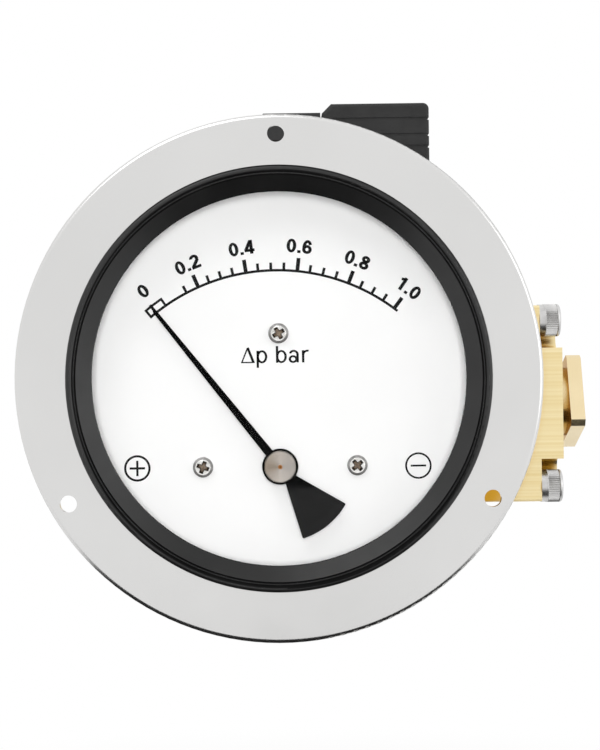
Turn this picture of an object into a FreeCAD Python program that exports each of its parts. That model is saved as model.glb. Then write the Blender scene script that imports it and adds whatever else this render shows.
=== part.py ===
import FreeCAD, Part
import math
import os
import re

import Sketcher
from FreeCAD import Placement, Rotation, Vector

# A panel gauge for differential pressure. A brass block behind the case holds a piston that a
# diaphragm pushes against a range spring. A magnet in the piston turns a second magnet on the
# pointer shaft, and a third one works a reed switch under the plug on top of the block.
# The origin is the centre of the flange's rear face, +Z is up, and the dial faces -Y.

# Driving dimensions, in millimetres and degrees
CASE_SIZES = [
    ("flange_width", 15.75, "panel flange beyond the cup"),
    ("flange_thickness", 2.0, "panel flange"),
    ("flange_edge_radius", 0.9, "rounded front edge of the flange"),
    ("flange_hole_inset", 5.5, "panel holes from the flange's edge"),
    ("flange_hole_diameter", 4.8, "panel holes"),
    ("flange_hole_count", 3, "panel holes"),
    ("cup_diameter", 116.5, "outside of the drawn cup"),
    ("cup_depth", 43.0, "flange's rear face to the back of the cup"),
    ("cup_wall", 1.2, "sheet of the cup"),
    ("cup_corner_radius", 5.0, "outer bend at the back of the cup"),
    ("mouth_radius", 1.5, "bend from the cup into the flange"),
    ("gasket_flap", 2.5, "rubber ring over the flange"),
    ("gasket_wall", 1.85, "rubber between the glass and the cup"),
    ("gasket_bead_width", 2.0, "round outer bead"),
    ("gasket_bead_rise", 2.6, "bead's top above the flange"),
    ("gasket_groove_width", 0.95, "groove inside the bead, at its top"),
    ("gasket_groove_bottom", 0.35, "flat bottom of the groove"),
    ("gasket_groove_floor", 1.4, "groove's floor above the flange"),
    ("gasket_band_rise", 2.3, "outer edge of the sloping band above the flange"),
    ("gasket_lip", 2.65, "lip over the edge of the window"),
    ("gasket_lip_rise", 0.3, "inner edge of the sloping band above the flange"),
    ("gasket_tail", 1.5, "lip behind the edge of the window"),
    ("gasket_tail_thickness", 2.0, "lip behind the window"),
    ("window_thickness", 3.0, "glass"),
    ("window_inset", 0.8, "glass behind the flange's front face"),
    ("fit_clearance", 0.1, "radial room round pieces that don't move"),
    ("thread_clearance", 0.05, "radial room round screwed pieces"),
    ("running_clearance", 0.05, "radial room round shafts and the piston"),
]
DIAL_SIZES = [
    ("dial_depth", 9.5, "flange's rear face to the dial's face"),
    ("dial_room", 1.55, "room between the dial and the cup"),
    ("dial_thickness", 1.0, "dial"),
    ("dial_hole_diameter", 8.4, "hole for the pointer hub"),
    ("pivot_drop", 25.0, "pointer axis below the case axis"),
    ("dial_screw_reach", 22.0, "side dial screws from the pointer axis"),
    ("dial_screw_rise", 37.9, "top dial screw above the pointer axis"),
    ("dial_screw_diameter", 3.0, "dial screw thread"),
    ("dial_screw_length", 8.0, "dial screw under its head"),
    ("dial_screw_head", 5.9, "dial screw head across"),
    ("dial_screw_head_rise", 2.0, "dial screw head"),
    ("dial_screw_head_edge", 0.8, "straight edge of the dial screw head"),
    ("cross_width", 0.9, "arm of the cross recess"),
    ("cross_span", 3.4, "cross recess from end to end"),
    ("cross_depth", 1.2, "cross recess"),
    ("tapped_extra", 1.5, "tapped hole beyond the screw's tip"),
    ("pillar_diameter", 7.0, "dial pillars"),
    ("stud_diameter", 4.0, "studs of the dial pillars"),
    ("stud_length", 9.0, "studs in the block"),
    ("pointer_gap", 2.7, "dial's face to the pointer"),
    ("pointer_thickness", 0.6, "pointer sheet"),
    ("pointer_length", 57.8, "pointer axis to the tip"),
    ("pointer_root_width", 2.5, "pointer at its eye"),
    ("pointer_tip_width", 1.1, "pointer behind its point"),
    ("pointer_point", 1.2, "length of the pointer's point"),
    ("pointer_eye", 10.2, "pointer's round eye"),
    ("fan_radius", 21.4, "counterweight from the pointer axis"),
    ("fan_angle", 43.0, "counterweight's spread"),
    ("fan_corner", 0.4, "rounded corners of the counterweight"),
    ("zero_angle", 38.2, "pointer left of upright at zero"),
    ("hub_diameter", 9.1, "turned hub in front of the pointer"),
    ("hub_rise", 1.6, "turned hub in front of the pointer"),
    ("hub_edge", 0.3, "hub's chamfer"),
    ("hub_spigot", 4.0, "hub in the pointer's eye"),
    ("hub_collar", 6.4, "hub's collar behind the pointer"),
    ("hub_collar_length", 1.8, "hub's collar behind the pointer"),
]
MOVEMENT_SIZES = [
    ("shaft_diameter", 2.0, "pointer shaft"),
    ("shaft_tip_diameter", 1.2, "shaft's ends"),
    ("shaft_tip_show", 0.1, "shaft's end beyond the hub"),
    ("shaft_end_play", 0.4, "shaft's shoulder before the rear bearing"),
    ("follower_diameter", 10.4, "magnet on the shaft"),
    ("follower_length", 8.0, "magnet on the shaft"),
    ("pocket_diameter", 13.0, "blind pocket for the shaft in the block"),
    ("pocket_past", 7.0, "pocket beyond the piston axis"),
    ("magnet_wall", 1.8, "brass between the pocket and the piston bore"),
    ("bearing_flange", 17.0, "front bearing's flange"),
    ("bearing_length", 4.0, "front bearing in the pocket"),
    ("rear_bearing_length", 2.4, "rear bearing"),
    ("rear_bearing_floor", 0.4, "rear bearing behind the shaft's end"),
]
BLOCK_SIZES = [
    ("block_width", 60.0, "square section of the brass block"),
    ("block_left", 50.0, "case axis to the block's left end"),
    ("cap_joint", 55.0, "case axis to the joint with the cap"),
    ("block_edge", 0.6, "chamfer along the block's edges"),
    ("bore_diameter", 16.0, "piston bore"),
    ("bore_stop", 16.0, "bore's blind end left of the case axis"),
    ("chamber_diameter", 36.0, "diaphragm chamber"),
    ("chamber_depth", 8.0, "diaphragm chamber in the block"),
    ("passage_diameter", 8.0, "passage from the high port"),
    ("port_thread", 20.95, "thread of the port bushes"),
    ("port_thread_extra", 8.0, "thread beyond the high bush's end"),
    ("cap_thickness", 25.0, "cap under the screw heads"),
    ("cap_chamber_depth", 17.0, "diaphragm chamber in the cap"),
    ("boss_rise", 6.8, "cross-shaped boss above the screw seats"),
    ("corner_pocket", 13.0, "side of the milled corner pockets"),
    ("corner_pocket_radius", 3.0, "inside corner of the pockets"),
    ("cap_screw_inset", 4.5, "cap screws from the block's sides"),
    ("cap_screw_diameter", 6.0, "cap screw thread"),
    ("cap_screw_room", 0.3, "radial room round the screws in the cap"),
    ("cap_screw_grip", 14.0, "cap screws in the block"),
    ("cap_screw_head", 10.0, "cap screw head across"),
    ("cap_screw_head_rise", 5.0, "cap screw head"),
    ("cap_screw_head_edge", 0.5, "cap screw head's chamfer"),
    ("cap_screw_key", 5.0, "hexagon socket across flats"),
    ("cap_screw_key_depth", 2.8, "hexagon socket"),
    ("washer_thickness", 1.6, "spring washers"),
    ("washer_diameter", 9.8, "spring washers"),
    ("washer_gap", 0.9, "cut in the spring washers"),
]
PISTON_SIZES = [
    ("piston_gap", 0.3, "piston before the bore's blind end at rest"),
    ("piston_core", 10.1, "hole for the magnets"),
    ("piston_core_depth", 49.7, "hole for the magnets"),
    ("piston_floor", 4.0, "piston beyond the hole for the magnets"),
    ("piston_rod", 7.2, "rod to the diaphragm"),
    ("rod_thread", 6.0, "rod's threaded end"),
    ("rod_end_show", 0.6, "rod beyond its nut"),
    ("piston_plug_length", 6.2, "plug that closes the piston"),
    ("magnet_length", 10.0, "each magnet in the piston"),
    ("diaphragm_rim", 5.0, "diaphragm clamped round the chamber"),
    ("diaphragm_thickness", 1.0, "diaphragm"),
    ("roll_room", 0.2, "diaphragm's fold from the chamber's wall"),
    ("roll_radius", 0.5, "inside of the diaphragm's fold"),
    ("plate_room", 0.3, "plates from the diaphragm's fold"),
    ("plate_thickness", 2.0, "plates on the diaphragm"),
    ("nut_across", 10.0, "nut on the rod across flats"),
    ("nut_height", 4.4, "nut on the rod"),
    ("spring_diameter", 15.0, "middle of the range spring's wire"),
    ("spring_wire", 1.4, "range spring's wire"),
    ("spring_half_turns", 10, "range spring"),
    ("spring_seat_gap", 0.05, "room at each end of the range spring"),
]
PORT_SIZES = [
    ("bush_shank", 10.0, "port bush in its thread"),
    ("bush_shoulder", 0.5, "port bush's round neck beyond its thread"),
    ("bush_neck", 3.6, "port bush's round neck"),
    ("bush_head", 4.5, "port bush's square head"),
    ("bush_across", 24.0, "square head across flats"),
    ("bush_corner_cut", 1.1, "turned off each corner of the square head"),
    ("bush_turn", 20.7, "square head turned about its axis"),
    ("bush_bore", 11.44, "pipe thread in the port bush"),
    ("bush_mouth", 0.8, "chamfer at the mouth of the port"),
    ("seal_width", 2.5, "copper washer under the port bush"),
    ("seal_thickness", 1.5, "copper washer under the port bush"),
]
SWITCH_SIZES = [
    ("switch_place", 31.6, "switch right of the case axis"),
    ("switch_width", 33.8, "switch housing, left to right"),
    ("switch_depth", 30.0, "switch housing, front to back"),
    ("switch_height", 28.7, "switch housing above the block"),
    ("switch_corner", 2.5, "corners of the switch housing"),
    ("foot_width", 17.0, "switch housing's foot, left to right"),
    ("foot_margin", 0.5, "foot round the screw heads"),
    ("foot_height", 4.0, "switch housing's foot"),
    ("foot_screw_diameter", 4.0, "switch screws"),
    ("foot_screw_length", 7.0, "switch screws in the block"),
    ("foot_screw_head", 7.0, "switch screw heads"),
    ("foot_screw_head_rise", 2.6, "switch screw heads"),
    ("stem_diameter", 9.8, "switch stem in the block"),
    ("stem_length", 17.0, "switch stem in the block"),
    ("reed_diameter", 4.0, "reed switch capsule"),
    ("reed_length", 14.0, "reed switch capsule"),
    ("reed_room", 0.3, "radial room round the reed switch"),
    ("base_room", 0.6, "contact base from the plug's walls"),
    ("base_height", 5.0, "contact base on the switch housing"),
    ("blade_width", 6.3, "contact blades"),
    ("blade_thickness", 0.8, "contact blades"),
    ("blade_root", 4.0, "contact blades in the base"),
    ("blade_show", 8.0, "contact blades above the base"),
    ("blade_reach", 8.0, "contact blades from the middle of the base"),
    ("joint_gasket", 1.5, "flat gasket under the plug"),
]
PLUG_SIZES = [
    ("plug_step", 1.0, "plug's front and back behind the switch housing's"),
    ("plug_height", 35.0, "plug above its gasket"),
    ("plug_wall", 2.4, "plug's walls"),
    ("plug_slope", 2.9, "sloped edge at the top left"),
    ("plug_shoulder", 1.9, "round edge at the top right"),
    ("plug_corner", 1.2, "edges round the front and back of the plug"),
    ("rib_groove_width", 0.9, "grooves between the grip ribs"),
    ("rib_groove_depth", 0.45, "grooves between the grip ribs"),
    ("rib_first", 5.0, "first groove below the plug's top"),
    ("rib_second", 10.1, "second groove below the plug's top"),
    ("rib_third", 13.8, "third groove below the plug's top"),
    ("rib_fourth", 18.9, "fourth groove below the plug's top"),
    ("rib_margin", 3.4, "plain strip left of the grip ribs"),
    ("insert_gap", 0.5, "contact insert above the base"),
    ("insert_height", 14.0, "contact insert"),
    ("insert_room", 0.2, "room round the insert and the blades"),
    ("plug_screw_diameter", 3.0, "screw through the plug"),
    ("plug_screw_grip", 7.0, "screw in the switch housing"),
    ("plug_screw_head", 5.6, "head of the screw through the plug"),
    ("plug_screw_head_rise", 2.2, "head of the screw through the plug"),
    ("plug_screw_sink", 3.0, "recess for the screw's head"),
    ("gland_drop", 10.8, "gland axis below the plug's top"),
    ("gland_spigot", 15.4, "threaded spigot of the gland"),
    ("gland_spigot_length", 12.5, "threaded spigot of the gland"),
    ("gland_way", 10.2, "cable way through the spigot"),
    ("gland_nut_across", 18.6, "gland nut across flats"),
    ("gland_nut_length", 19.2, "gland nut"),
    ("gland_nut_start", 0.3, "gland nut off the plug's side"),
    ("gland_nut_floor", 3.0, "gland nut's end"),
    ("gland_nut_edge", 0.9, "gland nut's chamfer"),
    ("gland_bore", 8.0, "cable hole in the gland nut"),
    ("gland_seal_bore", 8.4, "cable hole in the gland seal"),
]
SIZES = [
    ("Case", CASE_SIZES),
    ("Dial", DIAL_SIZES),
    ("Movement", MOVEMENT_SIZES),
    ("Block", BLOCK_SIZES),
    ("Piston", PISTON_SIZES),
    ("Ports", PORT_SIZES),
    ("Switch", SWITCH_SIZES),
    ("Plug", PLUG_SIZES),
]

# Places that several pieces share
CUP_INSIDE = "(cup_diameter / 2 - cup_wall)"
FLANGE_RADIUS = "(cup_diameter / 2 + flange_width)"
WINDOW_SEAT = f"({CUP_INSIDE} - fit_clearance - gasket_wall)"
WINDOW_RADIUS = f"({WINDOW_SEAT} - fit_clearance)"
WINDOW_FRONT = "(flange_thickness - window_inset)"
WINDOW_BACK = f"({WINDOW_FRONT} - window_thickness)"
PISTON_DEPTH = "(cup_depth + block_width / 2)"
POCKET_END = f"({PISTON_DEPTH} + pocket_past)"
AXIS_RISE = "(bore_diameter / 2 + magnet_wall + pocket_diameter / 2)"
PISTON_LEVEL = f"({AXIS_RISE} - pivot_drop)"
BEARING_FRONT = f"({POCKET_END} - rear_bearing_length)"
SHAFT_SHOULDER = f"({BEARING_FRONT} - shaft_end_play)"
POINTER_BACK = "(dial_depth - pointer_gap)"
CAP_FACE = "(cap_joint + cap_thickness)"
BOSS_FACE = f"({CAP_FACE} + boss_rise)"
SCREW_OFFSET = "(block_width / 2 - cap_screw_inset)"
PISTON_START = "(piston_gap - bore_stop)"
CORE_END = f"({PISTON_START} + piston_core_depth)"
PISTON_END = f"({CORE_END} + piston_floor)"
FOLD = "(roll_radius + diaphragm_thickness)"
ROLL = f"(chamber_diameter / 2 - roll_room - {FOLD})"
DIAPHRAGM_RADIUS = "(chamber_diameter / 2 + diaphragm_rim)"
INNER_PLATE = "(cap_joint - plate_thickness)"
OUTER_PLATE = "(cap_joint + diaphragm_thickness)"
NUT_START = f"({OUTER_PLATE} + plate_thickness)"
SPRING_END = f"({BOSS_FACE} - bush_shank)"
BLOCK_TOP = f"({PISTON_LEVEL} + block_width / 2)"
SWITCH_TOP = f"({BLOCK_TOP} + switch_height)"
PLUG_FOOT = f"({SWITCH_TOP} + joint_gasket)"
PLUG_LEFT = "(switch_place - switch_width / 2)"
PLUG_DEPTH = "(switch_depth - 2 * plug_step)"
BASE_WIDTH = "(switch_width - 2 * plug_wall - 2 * base_room)"
BASE_DEPTH = f"({PLUG_DEPTH} - 2 * plug_wall - 2 * base_room)"
FOOT_SCREW = "(switch_depth / 2 + foot_margin + foot_screw_head / 2)"
FOOT_HALF = f"({FOOT_SCREW} + foot_screw_head / 2 + foot_margin)"
GLAND_HEIGHT = "(plug_height - gland_drop)"
GLAND_END = "(gland_nut_start + gland_nut_length)"
STUDS = [
    ("dial_screw_reach", "-pivot_drop"),
    ("-dial_screw_reach", "-pivot_drop"),
    ("0", "dial_screw_rise - pivot_drop"),
]

# How a piece's own axes lie: its z faces the front, the right, the left or up
FRONT = Rotation(Vector(1, 0, 0), 90)
RIGHT = Rotation(Vector(1, 1, 1), 120)
LEFT = Rotation(Vector(0, 0, 1), 180) * RIGHT
UP = Rotation()
LEFT_OF_TRAVEL = 1
RIGHT_OF_TRAVEL = -1

doc = FreeCAD.newDocument("differential_pressure_gauge")
sheet = doc.addObject("Spreadsheet::Sheet", "Sizes")
pieces = []


def fill_sheet():
    """One row for each driving dimension, under a heading for each group."""
    row = 1
    for heading, group in SIZES:
        sheet.set(f"A{row}", heading)
        row += 1
        for alias, value, words in group:
            sheet.set(f"A{row}", words)
            sheet.set(f"B{row}", str(value))
            sheet.setAlias(f"B{row}", alias)
            row += 1
    doc.recompute()


ALIASES = {alias for _, group in SIZES for alias, _, _ in group}


def bound(text):
    """The expression with each size's name pointing into the sheet."""
    return re.sub(
        r"[a-z][a-z_]*", lambda word: f"Sizes.{word[0]}" if word[0] in ALIASES else word[0], text
    )


def value(text):
    """What an expression of sizes comes to now."""
    return float(sheet.evalExpression(bound(text)))


def bind(thing, path, text):
    thing.setExpression(path, bound(text))


def place(thing, rotation, at):
    """Turns a piece and ties its place to the sheet."""
    thing.Placement = Placement(Vector(*[value(text) for text in at]), rotation)
    for axis, text in zip("xyz", at):
        bind(thing, f"Placement.Base.{axis}", text)


def new_body(label, rotation=UP, at=("0", "0", "0")):
    body = doc.addObject("PartDesign::Body", label)
    body.Label = label
    place(body, rotation, at)
    return body


def piece(thing):
    """Counts an object as a sub-part that is written out under its label."""
    pieces.append(thing)
    return thing


def sketch_on(body, role, lift="0"):
    """A sketch on one of the body's own planes, lifted along the plane's normal."""
    sketch = body.newObject("Sketcher::SketchObject", f"{body.Label}_sketch")
    plane = next(f for f in body.Origin.OriginFeatures if f.Role == role)
    sketch.AttachmentSupport = [(plane, "")]
    sketch.MapMode = "FlatFace"
    bind(sketch, "AttachmentOffset.Base.z", lift)
    return sketch


def tie(sketch, kind, where, text):
    """Adds a dimension to a sketch and ties it to the sheet."""
    number = sketch.addConstraint(Sketcher.Constraint(kind, *where, value(text)))
    bind(sketch, f"Constraints[{number}]", text)


def arc_through(start, end, radius, side):
    """The short arc from start to end with its centre on the given side of travel."""
    chord = end - start
    towards = Vector(-chord.y, chord.x, 0).normalize() * side
    sagitta_foot = math.sqrt(max(radius**2 - (chord.Length / 2) ** 2, 0))
    centre = (start + end) * 0.5 + towards * sagitta_foot
    return Part.Arc(start, centre - towards * radius, end)


def outline(sketch, corners):
    """A closed outline. A corner is x, y and, where an arc leaves it, the arc's radius and side."""
    first = sketch.GeometryCount
    spots = [Vector(value(corner[0]), value(corner[1]), 0) for corner in corners]
    ends = []
    for number, corner in enumerate(corners):
        start = spots[number]
        end = spots[(number + 1) % len(spots)]
        if len(corner) > 2:
            edge = sketch.addGeometry(arc_through(start, end, value(corner[2]), corner[3]))
        else:
            edge = sketch.addGeometry(Part.LineSegment(start, end))
        begins = 1 if sketch.getPoint(edge, 1).distanceToPoint(start) < 1e-6 else 2
        ends.append((edge, begins, 3 - begins))
    for number in range(len(corners)):
        edge, _, stop = ends[number]
        following, begins, _ = ends[(number + 1) % len(ends)]
        sketch.addConstraint(Sketcher.Constraint("Coincident", edge, stop, following, begins))
    for number, corner in enumerate(corners):
        edge, begins, _ = ends[number]
        tie(sketch, "DistanceX", (-1, 1, edge, begins), corner[0])
        tie(sketch, "DistanceY", (-1, 1, edge, begins), corner[1])
        if len(corner) > 2:
            tie(sketch, "Radius", (first + number,), corner[2])


def circle(sketch, x, y, radius):
    spot = Vector(value(x), value(y), 0)
    edge = sketch.addGeometry(Part.Circle(spot, Vector(0, 0, 1), value(radius)))
    tie(sketch, "DistanceX", (-1, 1, edge, 3), x)
    tie(sketch, "DistanceY", (-1, 1, edge, 3), y)
    tie(sketch, "Radius", (edge,), radius)


def rectangle(sketch, left, low, right, high):
    outline(sketch, [(left, low), (right, low), (right, high), (left, high)])


def centred_rectangle(sketch, width, depth):
    rectangle(sketch, f"-({width}) / 2", f"-({depth}) / 2", f"({width}) / 2", f"({depth}) / 2")


def hexagon(sketch, across):
    """A hexagon about the origin with flats above and below."""
    half = f"({across}) / 2"
    point = f"({across}) / sqrt(3)"
    side = f"({across}) / sqrt(12)"
    outline(
        sketch,
        [
            (point, "0"),
            (side, half),
            (f"-{side}", half),
            (f"-{point}", "0"),
            (f"-{side}", f"-{half}"),
            (side, f"-{half}"),
        ],
    )


def pad(body, sketch, length):
    made = body.newObject("PartDesign::Pad", f"{body.Label}_pad")
    made.Profile = sketch
    bind(made, "Length", length)
    doc.recompute()
    return made


def cut(body, sketch, length, forward=False):
    """Cuts against the sketch's normal, or along it, and makes sure that something was cut."""
    before = body.Shape.Volume
    made = body.newObject("PartDesign::Pocket", f"{body.Label}_pocket")
    made.Profile = sketch
    made.Reversed = forward
    bind(made, "Length", length)
    doc.recompute()
    if body.Shape.Volume > before - 1e-6:
        raise ValueError(f"{made.Name} cuts nothing")
    return made


def repeat_round(body, feature, count):
    """Repeats a feature evenly round the body's z axis."""
    made = body.newObject("PartDesign::PolarPattern", f"{body.Label}_pattern")
    made.Originals = [feature]
    axis = next(f for f in body.Origin.OriginFeatures if f.Role == "Z_Axis")
    made.Axis = (axis, [""])
    made.Angle = 360
    bind(made, "Occurrences", count)
    body.Tip = made
    doc.recompute()


def edges_where(body, test):
    """Names of the body's edges whose middle passes the test."""
    found = []
    for number, edge in enumerate(body.Tip.Shape.Edges, 1):
        middle = edge.valueAt((edge.FirstParameter + edge.LastParameter) / 2)
        ends = [vertex.Point for vertex in edge.Vertexes]
        if test(middle, ends):
            found.append(f"Edge{number}")
    return found


def dress(body, kind, size_property, size, test):
    """Rounds or chamfers the edges that pass the test."""
    base = body.Tip
    names = edges_where(body, test)
    made = body.newObject(f"PartDesign::{kind}", f"{body.Label}_{kind.lower()}")
    made.Base = (base, names)
    bind(made, size_property, size)
    doc.recompute()


def turned(label, corners, rotation, at):
    """A piece turned about its own z axis: corners are radius and height."""
    body = new_body(label, rotation, at)
    sketch = sketch_on(body, "XZ_Plane")
    outline(sketch, corners)
    made = body.newObject("PartDesign::Revolution", f"{label}_revolution")
    made.Profile = sketch
    made.ReferenceAxis = (sketch, ["V_Axis"])
    made.Angle = 360
    doc.recompute()
    return body


def ring(label, inside, outside, low, high, rotation, at):
    corners = [(inside, low), (outside, low), (outside, high), (inside, high)]
    return turned(label, corners, rotation, at)


def group(label, master, places):
    """Copies of one piece as separate solids in one node."""
    copies = []
    for number, at in enumerate(places, 1):
        copy = doc.addObject("App::Link", f"{label}_{number}")
        copy.LinkedObject = master
        copy.LinkTransform = False
        place(copy, master.Placement.Rotation, at)
        copies.append(copy)
    made = doc.addObject("Part::Compound", label)
    made.Label = label
    made.Links = copies
    doc.recompute()
    return piece(made)


def make_case():
    body = turned(
        "case",
        [
            ("0", "-cup_depth"),
            ("cup_diameter / 2 - cup_corner_radius", "-cup_depth", "cup_corner_radius", LEFT_OF_TRAVEL),
            ("cup_diameter / 2", "cup_corner_radius - cup_depth"),
            ("cup_diameter / 2", "0"),
            (FLANGE_RADIUS, "0"),
            (
                FLANGE_RADIUS,
                "flange_thickness - flange_edge_radius",
                "flange_edge_radius",
                LEFT_OF_TRAVEL,
            ),
            (f"{FLANGE_RADIUS} - flange_edge_radius", "flange_thickness"),
            (f"{CUP_INSIDE} + mouth_radius", "flange_thickness", "mouth_radius", LEFT_OF_TRAVEL),
            (CUP_INSIDE, "flange_thickness - mouth_radius"),
            (
                CUP_INSIDE,
                "cup_corner_radius - cup_depth",
                "cup_corner_radius - cup_wall",
                RIGHT_OF_TRAVEL,
            ),
            ("cup_diameter / 2 - cup_corner_radius", "cup_wall - cup_depth"),
            ("0", "cup_wall - cup_depth"),
        ],
        FRONT,
        ("0", "0", "0"),
    )
    hole = sketch_on(body, "XY_Plane", "flange_thickness")
    circle(hole, "0", f"{FLANGE_RADIUS} - flange_hole_inset", "flange_hole_diameter / 2")
    repeat_round(body, cut(body, hole, "flange_thickness"), "flange_hole_count")
    back = sketch_on(body, "XY_Plane", "cup_wall - cup_depth")
    circle(back, "0", "-pivot_drop", "bearing_flange / 2 + fit_clearance")
    for x, y in STUDS:
        circle(back, x, y, "stud_diameter / 2 + fit_clearance")
    cut(body, back, "cup_wall")
    piece(body)


def make_window():
    bead_top = "flange_thickness + gasket_bead_rise"
    bead_side = f"{bead_top} - gasket_bead_width / 2"
    outside = f"({CUP_INSIDE} + gasket_flap)"
    bead_inside = f"({outside} - gasket_bead_width)"
    bead_radius = "gasket_bead_width / 2"
    groove_floor = "flange_thickness + gasket_groove_floor"
    band_outside = f"{bead_inside} - gasket_groove_width"
    lip = f"({WINDOW_RADIUS} - gasket_lip)"
    tail = f"({WINDOW_RADIUS} - gasket_tail)"
    tail_end = f"{WINDOW_BACK} - gasket_tail_thickness"
    mouth = f"{CUP_INSIDE} - fit_clearance"
    gasket = turned(
        "window_gasket",
        [
            (mouth, "flange_thickness"),
            (outside, "flange_thickness"),
            (outside, bead_side, bead_radius, LEFT_OF_TRAVEL),
            (f"{outside} - {bead_radius}", bead_top, bead_radius, LEFT_OF_TRAVEL),
            (bead_inside, bead_side),
            (bead_inside, groove_floor),
            (f"{bead_inside} - gasket_groove_bottom", groove_floor),
            (band_outside, "flange_thickness + gasket_band_rise"),
            (lip, "flange_thickness + gasket_lip_rise"),
            (lip, WINDOW_FRONT),
            (WINDOW_SEAT, WINDOW_FRONT),
            (WINDOW_SEAT, WINDOW_BACK),
            (tail, WINDOW_BACK),
            (tail, tail_end),
            (mouth, tail_end),
        ],
        FRONT,
        ("0", "0", "0"),
    )
    piece(gasket)
    glass = turned(
        "window",
        [
            ("0", WINDOW_BACK),
            (WINDOW_RADIUS, WINDOW_BACK),
            (WINDOW_RADIUS, WINDOW_FRONT),
            ("0", WINDOW_FRONT),
        ],
        FRONT,
        ("0", "0", "0"),
    )
    piece(glass)


def cross_recess(body, top):
    """A cross-shaped recess in a screw's head."""
    arm = "cross_width / 2"
    tip = "cross_span / 2"
    quarter = [(tip, f"-{arm}"), (tip, arm), (arm, arm), (arm, tip), (f"-{arm}", tip), (f"-{arm}", arm)]
    half = quarter + [(f"-{tip}", arm), (f"-{tip}", f"-{arm}"), (f"-{arm}", f"-{arm}")]
    sketch = sketch_on(body, "XY_Plane", top)
    outline(sketch, half + [(f"-{arm}", f"-{tip}"), (arm, f"-{tip}"), (arm, f"-{arm}")])
    cut(body, sketch, "cross_depth")


def make_dial():
    plate = piece(new_body("dial_plate", FRONT, ("0", "dial_depth", "0")))
    sketch = sketch_on(plate, "XY_Plane", "-dial_thickness")
    circle(sketch, "0", "0", f"{CUP_INSIDE} - dial_room")
    circle(sketch, "0", "-pivot_drop", "dial_hole_diameter / 2")
    for x, y in STUDS:
        circle(sketch, x, y, "dial_screw_diameter / 2 + fit_clearance")
    pad(plate, sketch, "dial_thickness")

    pillar_length = "(cup_depth - cup_wall - dial_depth - dial_thickness)"
    stud_end = f"-({pillar_length} + cup_wall + stud_length)"
    tapped = "dial_screw_diameter / 2 + thread_clearance"
    tapped_end = "-(dial_screw_length - dial_thickness + tapped_extra)"
    pillar = turned(
        "dial_pillar",
        [
            ("0", stud_end),
            ("stud_diameter / 2", stud_end),
            ("stud_diameter / 2", f"-{pillar_length}"),
            ("pillar_diameter / 2", f"-{pillar_length}"),
            ("pillar_diameter / 2", "0"),
            (tapped, "0"),
            (tapped, tapped_end),
            ("0", tapped_end),
        ],
        FRONT,
        ("0", "0", "0"),
    )
    group("dial_pillars", pillar, [(x, "dial_depth + dial_thickness", z) for x, z in STUDS])

    dome_rise = "(dial_screw_head_rise - dial_screw_head_edge)"
    dome_radius = f"((dial_screw_head / 2) ^ 2 + {dome_rise} ^ 2) / (2 * {dome_rise})"
    screw = turned(
        "dial_screw",
        [
            ("0", "-dial_screw_length"),
            ("dial_screw_diameter / 2", "-dial_screw_length"),
            ("dial_screw_diameter / 2", "0"),
            ("dial_screw_head / 2", "0"),
            ("dial_screw_head / 2", "dial_screw_head_edge", dome_radius, LEFT_OF_TRAVEL),
            ("0", "dial_screw_head_rise"),
        ],
        FRONT,
        ("0", "0", "0"),
    )
    cross_recess(screw, "dial_screw_head_rise")
    group("dial_screws", screw, [(x, "dial_depth", z) for x, z in STUDS])


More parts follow.
